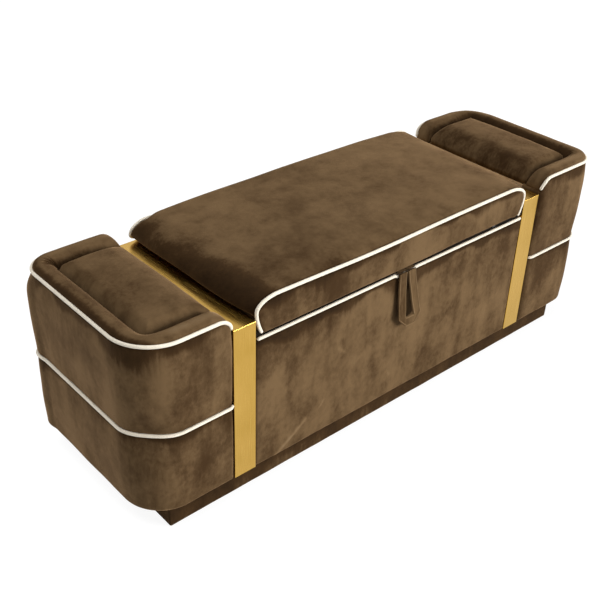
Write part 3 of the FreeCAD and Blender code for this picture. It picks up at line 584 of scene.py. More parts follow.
def fill_patch(bm, uv_layer, press_and_light_layer, points, flat, caps, press_and_painted_light):
    """Adds a grid of points; its first and last rows may be closed rings that are capped."""
    rows, columns = points.shape[:2]
    if flat is None:
        flat = np.stack(np.meshgrid(np.linspace(0, 1, rows), np.linspace(0, 1, columns), indexing="ij"), -1)
    if press_and_painted_light is None:
        press_and_painted_light = np.zeros((rows, columns))
    if callable(press_and_painted_light):
        press_and_painted_light = press_and_painted_light(points.reshape(-1, 3)).reshape(rows, columns)
    grid = [[bm.verts.new(points[i, j]) for j in range(columns)] for i in range(rows)]
    for i in range(rows):
        for j in range(columns):
            grid[i][j][press_and_light_layer] = press_and_painted_light[i, j]
    for i in range(rows - 1):
        for j in range(columns - 1):
            corners = ((i, j), (i + 1, j), (i + 1, j + 1), (i, j + 1))
            face = bm.faces.new([grid[a][b] for a, b in corners])
            for loop, (a, b) in zip(face.loops, corners):
                loop[uv_layer].uv = flat[a, b]
    if caps:
        for row in (grid[0], grid[-1]):
            for j in range(columns // 2 - 1):
                bm.faces.new([row[j], row[j + 1], row[columns - 3 - j], row[columns - 2 - j]])


def build(name, points, material, body, flat=None, caps=False, press_and_painted_light=None):
    """Makes one smooth piece from a grid of points or several, welds edges and rides it on a body."""
    bm = bmesh.new()
    uv_layer = bm.loops.layers.uv.new("UVMap")
    press_and_light_layer = bm.verts.layers.float.new("press_and_painted_light")
    for grid in points if isinstance(points, list) else [points]:
        fill_patch(bm, uv_layer, press_and_light_layer, grid, flat, caps, press_and_painted_light)
    bmesh.ops.remove_doubles(bm, verts=bm.verts, dist=weld)
    bmesh.ops.dissolve_degenerate(bm, edges=bm.edges, dist=weld / 2)
    bmesh.ops.recalc_face_normals(bm, faces=bm.faces)
    for face in bm.faces:
        face.smooth = True
    mesh = bpy.data.meshes.new(name)
    bm.to_mesh(mesh)
    bm.free()
    mesh.materials.append(material)
    piece = new_object(name, mesh)
    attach(piece, body)
    return piece


def velvet_piece(name, points, body, *stands_for, press_and_painted_light=None, caps=False, fill=0.7):
    """Padded velvet piece; its per-point values say where the pile is darkened, where pressed and where
    shade is painted, and where it is lightened by a painted highlight.
    """
    piece = build(name, points, velvet, body, caps=caps, press_and_painted_light=press_and_painted_light)
    if stands_for:
        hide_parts(*stands_for)
    return piece


def noise_at(points, size):
    """Smooth noise at each point, with bumps of a given size."""
    return np.array([noise.noise(Vector(p / size)) for p in points.reshape(-1, 3)])


def hand_made(points, normals, depth, size):
    """Moves points a little along their normals, as padding stuffed by hand is never quite even."""
    shift = depth * noise_at(points, size).reshape(points.shape[:2])
    return points + np.array(normals) * shift[..., None]


def ragged_reach(points, reach, size, change=reach_change, most=most_reach):
    """A reach that grows and shrinks slowly from point to point."""
    wandering = wander_swing * noise_at(points, size)
    return reach * np.clip(1 + change * wandering, least_reach, most)


def eased(count):
    """Values from 0 to 1 that lie closer together at both ends."""
    return 0.5 - 0.5 * np.cos(np.pi * np.linspace(0, 1, count))


def shoulder(distance, width):
    """Quarter of an ellipse: 0 at the edge, 1 from the given width on."""
    rest = 1 - np.clip(distance / width, 0, 1)
    return np.sqrt(np.maximum(1 - rest ** 2, 0))


def fading(distance, reach):
    """1 at no distance, falling smoothly to 0 past the reach."""
    return np.exp(-(distance / reach) ** 2)


def lengths_along(path):
    """Length of a line from its start to each of its points."""
    return np.concatenate([[0], np.cumsum(np.linalg.norm(np.diff(path, axis=0), axis=1))])


def tube(path, radius):
    """Round tube along a path, with rounded ends, and threads that slant evenly along it."""
    along = lengths_along(path)
    tangents = np.gradient(path, along, axis=0)
    tangents /= np.linalg.norm(tangents, axis=1)[:, None]
    side = np.cross(tangents[0], odd_direction)
    rows, flats = [], []
    around = np.linspace(0, 2 * np.pi, piping_sides + 1)
    pitch = 2 * np.pi * radius / hatch_turns
    sizes = [radius * math.sin(a) for a in np.radians(piping_end_angles)]
    last = len(path) - 1
    stations = [(0, size) for size in sizes]
    stations += [(i, radius) for i in range(piping_end_steps, last - piping_end_steps + 1)]
    stations += [(last, size) for size in reversed(sizes)]
    for index, size in stations:
        tangent = tangents[index]
        side = side - tangent * side.dot(tangent)
        side = side / np.linalg.norm(side)
        other = np.cross(tangent, side)
        past_end = radius - math.sqrt(max(radius ** 2 - size ** 2, 0))
        centre = path[index]
        if index == 0:
            centre = centre + tangent * past_end
        if index == last:
            centre = centre - tangent * past_end
        rows.append(centre + size * (np.cos(around)[:, None] * side + np.sin(around)[:, None] * other))
        flats.append(np.stack([np.full_like(around, along[index] / pitch),
                               around / (2 * np.pi) * hatch_turns], -1))
    return np.array(rows), np.array(flats)


def thinned(path, step):
    """The same line with points about one step apart."""
    path = np.array(path)
    along = lengths_along(path)
    at = np.linspace(0, along[-1], max(2, round(along[-1] / step) + 1))
    return np.stack([np.interp(at, along, path[:, k]) for k in range(3)], -1)


def piping_piece(replaced, path, body):
    points, flat = tube(thinned(path, piping_step), piping_radius)
    piece = build(replaced + "_cord", points, piping, body, flat)
    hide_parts(replaced)


# Plans, where each row is x, y, normal x, normal y; an end block's are drawn for the right-hand one

def straight(start, end, normal, count, spacing=None):
    share = np.linspace(0, 1, count) if spacing is None else spacing(count)
    points = np.array(start) + share[:, None] * (np.array(end) - np.array(start))
    return np.hstack([points, np.tile(normal, (count, 1))])


def bend(centre, radius, first, last, count):
    angle = np.radians(np.linspace(first, last, count))
    normal = np.stack([np.cos(angle), np.sin(angle)], -1)
    return np.hstack([np.array(centre) + radius * normal, normal])


def joined(*runs):
    """One plan from runs that meet end to end, without their repeated points."""
    whole = np.vstack(runs)
    moved = np.linalg.norm(np.diff(whole[:, :2], axis=0), axis=1)
    return whole[np.concatenate([[True], moved > weld])]


def rounded_loop(x, y, r, long_count, short_count, bend_count):
    """Closed rounded rectangle about the middle, from the middle of its right side."""
    return np.vstack([
        straight((x, 0), (x, y - r), (1, 0), short_count),
        bend((x - r, y - r), r, 0, 90, bend_count),
        straight((x - r, y), (r - x, y), (0, 1), long_count),
        bend((r - x, y - r), r, 90, 180, bend_count),
        straight((-x, y - r), (-x, r - y), (-1, 0), 2 * short_count),
        bend((r - x, r - y), r, 180, 270, bend_count),
        straight((r - x, -y), (x - r, -y), (0, -1), long_count),
        bend((x - r, r - y), r, 270, 360, bend_count),
        straight((x, r - y), (x, 0), (1, 0), short_count)])


def outer_corners():
    """The block's tight front corner, its end and its wide back corner."""
    x, y = block_end_x, block_y
    tight, wide = tight_round, wide_round
    return np.vstack([
        bend((x - tight, tight - y), tight, 270, 360, 61),
        straight((x, tight - y), (x, y - wide), (1, 0), 40),
        bend((x - wide, y - wide), wide, 0, 90, 31)])


def cover_plan():
    x, y, r = block_inner_x, block_y, inner_round
    return joined(
        straight((x, r + turn_in - y), (x, r - y), (-1, 0), 8),
        bend((x + r, r - y), r, 180, 270, 13),
        straight((x + r, -y), (block_end_x - tight_round, -y), (0, -1), 30),
        outer_corners(),
        straight((block_end_x - wide_round, y), (x + r, y), (0, 1), 24),
        bend((x + r, y - r), r, 90, 180, 13),
        straight((x, y - r), (x, y - r - turn_in), (-1, 0), 8))


def rim_plan(start_x):
    return joined(
        straight((start_x, -block_y), (block_end_x - tight_round, -block_y), (0, -1), 40, eased),
        outer_corners(),
        straight((block_end_x - wide_round, block_y), (start_x, block_y), (0, 1), 36, eased))


def corner_share(plan, sign):
    """1 in the middle of the corner in front (-1) or behind (1), falling to 0 at its ends."""
    across, along = plan[:, 2], sign * plan[:, 3]
    inside = (across > 0) & (along > 0)
    return np.where(inside, (2 * across * along) ** 2, 0.0)[:, None]


def inner_bend_draw(x):
    """How far the block's front and back are drawn in where they round off towards the band."""
    into = np.clip(block_inner_x + inner_round - x, 0, inner_round)
    return inner_round - np.sqrt(inner_round ** 2 - into ** 2)


def top_seam(plan):
    """Height of the block's top seam, which turns down beside the band."""
    run = np.clip((plan[:, 0] - block_inner_x - drop_inset) / drop_radius, 0, 1)
    return top_seam_z - drop_radius * (1 - np.sqrt(1 - (1 - run) ** 2))


def squared(plan, height, side):
    """The left block's back corner is stuffed out squarer below its top seam."""
    below = 1 - fading(top_seam_z - height, square_reach)
    return square_depth * corner_share(plan, -1) * below * (side < 0)


def settled(height, side):
    """The left block has settled a little above its middle seam."""
    above = np.maximum(height - mid_seam_z, 0)
    return height - left_settling * above * (side < 0)


def waist(plan, height):
    """The middle piping is pulled tight round the wide corner and draws the covers in."""
    return waist_depth * corner_share(plan, 1) * fading(height - mid_seam_z, waist_reach)


def placed(plan, inward, height, side):
    """Points at a distance inward of the plan and at a height, for the left or right block."""
    x = plan[:, None, 0] - plan[:, None, 2] * inward
    y = plan[:, None, 1] - plan[:, None, 3] * inward
    return xyz(side * x, side * y, settled(height, side))


def swelling(share, peak):
    """Bulge of a padded face between two seams, 0 at both and 1 at its peak."""
    warped = np.where(share < peak, share / peak, (1 - share) / (1 - peak))
    return np.sin(np.pi / 2 * np.clip(warped, 0, 1)) ** bulge_power


def dipped(distance):
    """Depth by which a cover is drawn in beside a seam."""
    return seam_dip * fading(distance, seam_dip_reach)


def side_normals(plan, columns, side):
    normal = np.zeros((len(plan), columns, 3))
    normal[..., 0] = side * plan[:, None, 2]
    normal[..., 1] = side * plan[:, None, 3]
    return normal


def padding_share(plan):
    """1 on the padded faces, 0 on the face against the band."""
    return np.clip(1 + plan[:, 2:3], 0, 1)


def closed_rows(outer, inner):
    """Joins an outer and an inner surface with as many columns into closed rings."""
    return np.concatenate([outer, inner[:, ::-1], outer[:, :1]], axis=1)


def side_by_side(rows, *parts):
    """Joins parts across, each repeated down to as many rows."""
    return np.concatenate([np.broadcast_to(part, (rows, part.shape[1])) for part in parts], axis=1)


def near_corner(points):
    """1 at the block's outer corners, falling to 0 along its faces."""
    past_x = np.maximum(block_end_x - np.abs(points[:, 0]), 0)
    past_y = np.maximum(block_y - np.abs(points[:, 1]), 0)
    return fading(past_x + past_y, corner_press_and_shade_reach)


def make_upper_cover(name, side):
    plan = cover_plan()
    share = eased(upper_columns)[None, :]
    low = mid_seam_z
    high = top_seam(plan)[:, None]
    height = low + share * (high - low)
    bulge = upper_bulge * padding_share(plan) * swelling(share, upper_bulge_peak)
    drawn = dipped(height - low) + dipped(high - height) + waist(plan, height) - squared(plan, height, side)
    outer = placed(plan, drawn - bulge, height, side)
    outer = hand_made(outer, side_normals(plan, share.shape[1], side), *block_unevenness)
    inner = placed(plan, skin + seam_dip + waist(plan, height), height, side)

    def press_and_painted_light(points):
        at_end = np.clip((np.abs(points[:, 0]) - block_end_x) / wide_round + 1, 0, 1)
        usual = upper_press_reach + upper_end_reach * at_end + upper_corner_reach * near_corner(points)
        reach = ragged_reach(points, usual, block_wander)
        below_top = fading(top_seam_z - points[:, 2], reach)
        return upper_top_press * below_top + upper_low_press * fading(points[:, 2] - low, reach / 2)

    velvet_piece("upper_cover_" + name, closed_rows(outer, inner), "root", "block_upper_cover_" + name,
                 "block_foam_" + name, press_and_painted_light=press_and_painted_light, caps=True)


def make_lower_cover(name, side):
    plan = cover_plan()
    outward = np.clip(plan[:, 2:3], 0, 1)
    radius = front_round + (end_round - front_round) * outward ** 2
    inner_part = np.clip(-plan[:, 2:3], 0, 1)
    radius = radius + (inner_edge_round - radius) * inner_part
    turn = np.radians(np.linspace(-90, 0, lower_turn_points))[None, :]
    under_in = radius + underside * np.array((1.0, 0.5))[None, :]
    under_z = np.full((1, 2), body_bottom)
    round_in = radius - radius * np.cos(turn) - squared(plan, body_bottom, side)
    round_z = body_bottom + radius + radius * np.sin(turn)
    share = eased(lower_columns)[None, 1:]
    low = body_bottom + radius
    wall_z = low + share * (mid_seam_z - low)
    bulge = lower_bulge * padding_share(plan) * swelling(share, lower_bulge_peak)
    wall_in = dipped(mid_seam_z - wall_z) + waist(plan, wall_z) - squared(plan, wall_z, side) - bulge
    inward = side_by_side(len(plan), under_in, round_in, wall_in)
    height = side_by_side(len(plan), under_z, round_z, wall_z)
    outer = placed(plan, inward, height, side)
    normals = side_normals(plan, outer.shape[1], side) * (height > body_bottom + weld)[..., None]
    outer = hand_made(outer, normals, *block_unevenness)
    inner_height = np.maximum(height, body_bottom + skin)
    inner = placed(plan, np.maximum(inward, 0) + skin + seam_dip, inner_height, side)

    def press_and_painted_light(points):
        # pile pressed dark below the middle seam, and painted shade over the outer corners
        below_seam = fading(mid_seam_z - points[:, 2], ragged_reach(points, lower_press_reach, block_wander))
        return lower_press * below_seam + lower_corner_shade * near_corner(points)

    velvet_piece("lower_cover_" + name, closed_rows(outer, inner), "root", "block_lower_cover_" + name,
                 press_and_painted_light=press_and_painted_light, caps=True)


def roll_profile(share):
    """Height of the roll across it: steep beside the piping, crested, then sloping to the crease."""
    first = np.clip(share / roll_crest, 0, 1)
    second = np.clip((share - roll_crest) / (1 - roll_crest), 0, 1)
    up = (1 - (1 - first) ** roll_outer_power) ** (1 / roll_outer_power)
    down = (1 - second ** roll_inner_power) ** (1 / roll_inner_power)
    rising = roll_outer_rise + (roll_rise - roll_outer_rise) * up
    falling = roll_crease_rise + (roll_rise - roll_crease_rise) * down
    return np.where(share < roll_crest, rising, falling)


def roll_reach(plan):
    """Distance from the plan inward to the crease, which turns round the pad's own smaller corners."""
    tried = np.linspace(0, 2 * roll_width, roll_tries)
    x = plan[:, :1] - plan[:, 2:3] * tried
    y = plan[:, 1:2] - plan[:, 3:4] * tried
    corner = np.where(y < 0, pad_tight_corner, pad_wide_corner) + pad_gap
    past_x = x - (block_end_x - roll_width - corner)
    past_y = np.abs(y) - (block_y - roll_width - corner)
    outside = np.hypot(np.maximum(past_x, 0), np.maximum(past_y, 0))
    rounded = outside + np.minimum(np.maximum(past_x, past_y), 0)
    return tried[np.argmax(rounded <= corner, axis=1)][:, None]


def make_roll(name, side):
    """Padded roll round the block's top, gathered at its tight inner corner, with its ends turned down."""
    start_x = block_inner_x + skin
    plan = rim_plan(start_x)
    share = eased(roll_columns)[None, :]
    first = roll_inset + inner_bend_draw(plan[:, :1])
    inward = first + (roll_reach(plan) - first) * share
    angle = np.arctan2(np.abs(plan[:, 3]), plan[:, 2])[:, None]
    folds = (1 - np.abs(np.sin(angle * pucker_folds * 2))) ** 2
    gathered = np.clip((share - pucker_start) / pucker_run, 0, 1) ** pucker_power
    gather = np.sqrt(corner_share(plan, -1)) * folds * gathered
    rise = roll_profile(share) - pucker_depth * gather
    end_radius = np.where(side * plan[:, 1:2] < 0, roll_front_end, roll_back_end)
    fall = shoulder(plan[:, :1] - start_x, end_radius)
    outer = placed(plan, inward, former_top + rise * fall, side)
    base = placed(plan, inward, np.full_like(inward, former_top), side)
    outer = hand_made(outer, (0, 0, 1) * fall[..., None], *roll_unevenness)

    # painted shade toward the crease and beside the piping, painted highlight along the crest and on the
    # front run, painted shade on the end run
    from_crest = share - roll_crest
    press_and_painted_light = roll_crease_shade * fading(1 - share, roll_crease_shade_share)
    press_and_painted_light = press_and_painted_light + roll_edge_shade * fading(share, roll_line_share)
    press_and_painted_light = press_and_painted_light - roll_crest_highlight * fading(from_crest, roll_line_share)
    at_front = np.clip(-side * plan[:, 3:4], 0, 1)
    press_and_painted_light = press_and_painted_light - roll_front_light * at_front * fading(from_crest, roll_front_light_share)
    press_and_painted_light = press_and_painted_light + roll_end_shade * np.clip(plan[:, 2:3], 0, 1)
    velvet_piece("roll_" + name, closed_rows(outer, base), "root", "block_roll_" + name,
                 press_and_painted_light=closed_rows(press_and_painted_light, press_and_painted_light), fill=0.85)


def pad_outline(x0, x1, half):
    r, tight, wide = pad_inner_corner, pad_tight_corner, pad_wide_corner
    return joined(
        straight((x0, 0), (x0, r - half), (-1, 0), 26),
        bend((x0 + r, r - half), r, 180, 270, 7),
        straight((x0 + r, -half), (x1 - tight, -half), (0, -1), 20),
        bend((x1 - tight, tight - half), tight, 270, 360, 9),
        straight((x1, tight - half), (x1, half - wide), (1, 0), 46),
        bend((x1 - wide, half - wide), wide, 0, 90, 17),
        straight((x1 - wide, half), (x0 + r, half), (0, 1), 18),
        bend((x0 + r, half - r), r, 90, 180, 7),
        straight((x0, half - r), (x0, 0), (-1, 0), 26))


def make_pad(name, side):
    """Crowned pad inside the roll, falling to the band along its inner side."""
    x0 = block_inner_x + skin
    x1 = block_end_x - roll_width - pad_gap
    half = block_y - roll_width - pad_gap
    outline = pad_outline(x0, x1, half)
    middle_x = (x0 + x1) / 2
    middle_y = half - (x1 - x0) / 2
    centre = np.stack([np.full(len(outline), middle_x), np.clip(outline[:, 1], -middle_y, middle_y)], -1)
    share = (1 - np.cos(np.pi / 2 * np.linspace(0, 1, pad_rings)))[None, :, None]
    flat = outline[:, None, :2] + share * (centre - outline[:, :2])[:, None, :]
    x, y = flat[..., 0], flat[..., 1]
    edge = np.linalg.norm(flat[:, :, None] - outline[None, None, :, :2], axis=3).min(axis=2)
    round_over = shoulder(x - x0, pad_inner_shoulder) * shoulder(edge, pad_side_shoulder)
    crown = 1 - ((y / half) ** 2 + ((x - middle_x) / (x1 - middle_x)) ** 2) / 2
    top_rise = pad_rise - pad_crown * (1 - crown)
    rise = pad_edge_rise + (top_rise - pad_edge_rise) * round_over
    top = xyz(side * x, side * y, settled(former_top + rise, side))
    top = hand_made(top, (0, 0, 1), *pad_unevenness)
    foot = xyz(side * outline[:, 0], side * outline[:, 1], former_top)
    under = xyz(side * middle_x, side * centre[:, 1], former_top)
    rows = np.concatenate([under[:, None], foot[:, None], top], axis=1)

    def press_and_painted_light(points):
        # painted shade near the pad's top and down its inner side
        on_top = fading(former_top + pad_rise - points[:, 2], pad_top_reach)
        inner_side = fading(np.abs(points[:, 0]) - block_inner_x, pad_inner_reach)
        return pad_top_shade * on_top + pad_inner_shade * inner_side

    velvet_piece("pad_" + name, rows, "root", "block_pad_" + name, press_and_painted_light=press_and_painted_light, fill=0.8)


def make_block_piping(name, side):
    plan = cover_plan()
    curl = math.cos(math.radians(mid_curl))
    kept = plan[(np.abs(plan[:, 3]) >= curl) | (plan[:, 2] > 0)]
    drawn = waist(kept, mid_seam_z) - squared(kept, mid_seam_z, side) - piping_proud
    piping_piece("mid_piping_" + name, placed(kept, drawn, mid_seam_z, side)[:, 0], "root")
    rim = rim_plan(block_inner_x + drop_inset + drop_radius)
    run = placed(rim, np.full((1, 1), -piping_proud), top_seam_z, side)[:, 0]
    path = np.vstack([dropped_end(side, -1), run[1:-1], dropped_end(side, 1)[::-1]])
    piping_piece("top_piping_" + name, path, "root")


def dropped_end(side, toward):
    """End of the top piping at the plan's front (-1) or back (1), turning down beside the band."""
    turn = np.radians(np.linspace(drop_end_angle, 90, drop_points))
    x = block_inner_x + drop_inset + drop_radius * (1 - np.cos(turn))
    y = toward * (block_y + piping_proud - inner_bend_draw(x))
    z = top_seam_z - drop_radius * (1 - np.sin(turn))
    return xyz(side * x, side * y, settled(z, side))


def smooth_run(start, leaving, end, back, count):
    """Cubic curve that leaves its start one way and comes to its end from another."""
    share = np.linspace(0, 1, count)[:, None]
    rest = 1 - share
    first_pull, last_pull = start + leaving, end + back
    return (start * rest ** 3 + 3 * first_pull * share * rest ** 2
            + 3 * last_pull * share ** 2 * rest + end * share ** 3)


def lid_foot():
    """Turned-in lower edge of the lid, the same at its seams and between them."""
    r = lid_edge_round
    turn = np.radians(np.linspace(-90, 0, lid_foot_points - 1))[:, None]
    edge = np.array((lid_low_x - r, lid_bottom + r)) + r * np.hstack([np.cos(turn), np.sin(turn)])
    return np.vstack([[(lid_low_x - lid_under, lid_bottom)], edge])


def lid_side_share():
    """1 on the side of the lid's section, falling to 0 over its corner, for each point from the neck up."""
    corner = np.minimum(lid_side_hold * np.linspace(1, 0, lid_corner_points)[1:], 1)
    smooth = corner ** 2 * (3 - 2 * corner)
    return np.concatenate([np.ones(lid_belly_points), smooth, np.zeros(lid_top_points - 1)])


def lid_high_share(z):
    """0 up to the lid's widest line, 1 from the height of its seams on."""
    return np.clip((z - lid_side_z) / (lid_seam_top - lid_side_z), 0, 1)


def mirrored(half):
    """Whole outline from its right half, which ends in the middle."""
    return np.vstack([half * (-1, 1), half[-2::-1]])


def lid_half_section(swell, side_swell):
    """Right half of the lid's cross-section, from under its edge to the middle of its top."""
    foot = lid_foot()
    side = smooth_run(foot[-1], lid_foot_out, lid_neck, -2 * lid_neck_up, lid_side_points)[1:]
    corner_end = np.array((lid_seam_x - lid_corner, lid_seam_top))
    middle = np.array((0, lid_seam_top))
    plain_belly = smooth_run(lid_neck, lid_neck_up, lid_bulge, -lid_bulge_up, lid_belly_points)
    plain_corner = smooth_run(lid_bulge, lid_corner_up, corner_end, lid_corner_out, lid_corner_points)
    plain_top = corner_end + np.linspace(0, 1, lid_top_points)[:, None] * (middle - corner_end)
    widest = np.array((lid_side_x, lid_side_z))
    shoulder_point = corner_end + (0, lid_crown_edge)
    full_belly = smooth_run(lid_neck, lid_belly_out, widest, -lid_belly_up, lid_belly_points)
    full_corner = smooth_run(widest, lid_side_up, shoulder_point, lid_top_out, lid_corner_points)
    across = np.linspace(1, 0, lid_top_points)
    full_top = np.stack([corner_end[0] * across,
                         lid_seam_top + lid_crown + (lid_crown_edge - lid_crown) * across ** 2], -1)
    plain = np.vstack([plain_belly, plain_corner[1:], plain_top[1:]])
    full = np.vstack([full_belly, full_corner[1:], full_top[1:]])
    swell = np.maximum(swell, side_swell * lid_side_share())[:, None]
    return np.vstack([foot, side, (plain + swell * (full - plain))[1:]])


def lid_front_sag(x):
    """The front seam dips a little left of the middle."""
    return lid_sag * fading(x - lid_sag_x, lid_sag_reach)


def lid_stations():
    """Sections of the lid: places along Y of its top and its sides, and how far each of the two swells.

    The top rolls over the piping at the back, and the sides stay full up to it."""
    front = np.sin(np.pi / 2 * np.linspace(-1, 0, lid_front_rows))
    swells = np.sqrt(np.maximum(1 - np.abs(front) ** lid_front_fullness, 0))
    stations = [(lid_seam_y * share, lid_seam_y * share, swell, 0.0) for share, swell in zip(front, swells)]
    nose_y = lid_seam_y - lid_nose_start
    stations += [(y, y, 1.0, 1.0) for y in np.linspace(0, nose_y, lid_middle_rows)[1:]]
    end = math.cos(math.radians(lid_nose_turn))
    for share in np.linspace(0, 1, lid_nose_rows)[1:]:
        angle = math.radians(share * lid_nose_turn)
        top_y = nose_y + lid_nose * math.sin(angle)
        top_swell = (math.cos(angle) - end) / (1 - end)
        stations.append((top_y, nose_y + lid_nose_start * share, top_swell, 1.0))
    return stations


def lid_spread(section, y):
    """The lid is a little wider above the bands towards its back."""
    out = np.clip((np.abs(section[:, 0]) - lid_seam_x) / (lid_side_x - lid_seam_x), 0, 1)
    return np.sign(section[:, 0]) * lid_back_spread * out * np.clip(0.5 + 0.5 * y / lid_seam_y, 0, 1)


def make_lid_cover():
    """Top panel of the lid, crowned and wrapped down its sides, which swell over the bands."""
    rows = []
    aside = np.concatenate([np.ones(lid_foot_points + lid_side_points - 2), lid_side_share()])
    aside = np.concatenate([aside, aside[-2::-1]])
    for top_y, side_y, swell, side_swell in lid_stations():
        whole = mirrored(lid_half_section(swell, side_swell))
        whole[:, 0] += lid_spread(whole, side_y)
        y = top_y + (side_y - top_y) * aside
        sag = lid_front_sag(whole[:, 0]) * max(-top_y / lid_seam_y, 0) ** lid_sag_power
        lift = lid_back_rise * swell * np.clip(top_y / lid_seam_y, 0, 1)
        z = whole[:, 1] + (lift - sag) * lid_high_share(whole[:, 1])
        rows.append(xyz(whole[:, 0], y, z))
    outer = np.array(rows)
    normals = np.cross(np.gradient(outer, axis=0), np.gradient(outer, axis=1))
    normals /= np.linalg.norm(normals, axis=2)[..., None] + weld ** 2
    normals *= np.sign(normals[len(rows) // 2, outer.shape[1] // 2, 2])
    outer = hand_made(outer, normals, *lid_unevenness)
    inner = outer - normals * lid_skin

    def press_and_painted_light(points):
        # darker towards the lid's sides and its front edge
        reach = ragged_reach(points, lid_darkening_reach, lid_wander, lid_reach_change, lid_most_reach)
        near_side = fading(lid_side_x - np.abs(points[:, 0]), reach)
        near_front = fading(points[:, 1] + lid_seam_y, reach)
        return lid_side_darkening * near_side + lid_front_darkening * near_front

    velvet_piece("lid_top", closed_rows(outer, inner), "lid", "lid_cover", "lid_foam",
                 press_and_painted_light=press_and_painted_light, caps=True, fill=0.75)


def lid_outline(inset, side_swell):
    half = lid_half_section(0.0, side_swell)[lid_foot_points - 1:]
    tangent = np.gradient(half, axis=0)
    tangent /= np.linalg.norm(tangent, axis=1)[:, None]
    whole = mirrored(half - inset * np.stack([tangent[:, 1], -tangent[:, 0]], -1))
    whole[:, 0] += lid_spread(whole, lid_seam_y) * side_swell
    return whole


def sagging(outline, direction):
    """The front outline with the dip of its seam; the back one has none."""
    dip = lid_front_sag(outline[:, 0]) * lid_high_share(outline[:, 1]) * (direction < 0)
    return outline - np.stack([np.zeros(len(outline)), dip], -1)


def make_lid_panel(end, direction, outline):
    """Boxed front or back face of the lid, puffed inside its rim, from its lower edge to its piping."""
    right = outline[:, 0] > 0
    turning = outline[right][np.argmax(outline[right, 0])]
    upper = outline[outline[:, 1] >= turning[1] - weld]
    side = outline[right & (outline[:, 1] <= turning[1] + weld)]
    side = side[np.argsort(side[:, 0])]
    reach = turning[0]
    x = reach * np.sin(np.pi / 2 * np.linspace(-1, 1, panel_columns))
    high = np.interp(x, upper[:, 0], upper[:, 1])
    low_edge = lid_bottom + panel_lift + panel_gap * np.clip(x / panel_gap_reach, 0, 1)
    low = np.where(np.abs(x) > side[0, 0], np.interp(np.abs(x), side[:, 0], side[:, 1]), low_edge)
    low = np.minimum(np.maximum(low, low_edge), high)
    share = eased(panel_rows)[None, :]
    z = low[:, None] + share * (high - low)[:, None]
    grid = np.stack([np.broadcast_to(x[:, None], z.shape), z], -1)
    rim = np.vstack([np.stack([x, low], -1), np.stack([x, high], -1)])
    edge = np.linalg.norm(grid[:, :, None] - rim[None, None], axis=3).min(axis=2)
    depth = lid_face_y - panel_rim * (1 - shoulder(edge, panel_rim))
    depth = depth + panel_puff * shoulder(edge, panel_puff_reach)
    outer = xyz(grid[..., 0], direction * depth, grid[..., 1])
    outer = hand_made(outer, (0, direction, 0), *panel_unevenness)
    back = xyz(outer[..., 0], direction * (lid_face_y - panel_skin), outer[..., 2])

    def press_and_painted_light(points):
        reach = ragged_reach(points, panel_press_reach, face_wander)
        return panel_press * fading(lid_seam_top - points[:, 2], reach)

    velvet_piece("lid_panel_" + end, closed_rows(outer, back), "lid", "lid_" + end + "_panel", press_and_painted_light=press_and_painted_light)


def make_lid_faces():
    for end, direction, side_swell in (("front", -1, 0.0), ("back", 1, 1.0)):
        make_lid_panel(end, direction, sagging(lid_outline(panel_inset, side_swell), direction))
        line = sagging(lid_outline(0.0, side_swell), direction)
        path = xyz(line[:, 0], direction * lid_piping_y, line[:, 1])
        piping_piece("lid_" + end + "_piping", path, "lid")


# Creases rubbed into the front face, raised a little and lightened with a painted highlight: their two ends
# along X and up, width and height
creases = (((-368, 56), (-280, 115), 9, 1.1),
           ((-240, 126), (-228, 143), 5, 0.8),
           ((-193, 268), (-170, 245), 6, 0.7),
           ((-30, 132), (-18, 112), 6, 0.7))


def creased(x, z):
    """Height of the creases at points of the front face."""
    total = np.zeros_like(x)
    for start, end, width, height in creases:
        first = np.array(start) * mm
        run = np.array(end) * mm - first
        length = np.linalg.norm(run)
        along = ((x - first[0]) * run[0] + (z - first[1]) * run[1]) / length
        across = ((x - first[0]) * run[1] - (z - first[1]) * run[0]) / length
        ends = np.clip(np.minimum(along, length - along) / (width * mm) + 0.5, 0, 1)
        total += height * mm * ends * fading(across, width * mm / 2)
    return total


def fine_edges(low, high, count, edge):
    """Places from low to high with a few close together at each end."""
    near = np.array((0, 0.12, 0.3, 0.6, 1.0)) * edge
    between = np.linspace(low + 2 * edge, high - 2 * edge, count)
    return np.concatenate([low + near, between, (high - near)[::-1]])


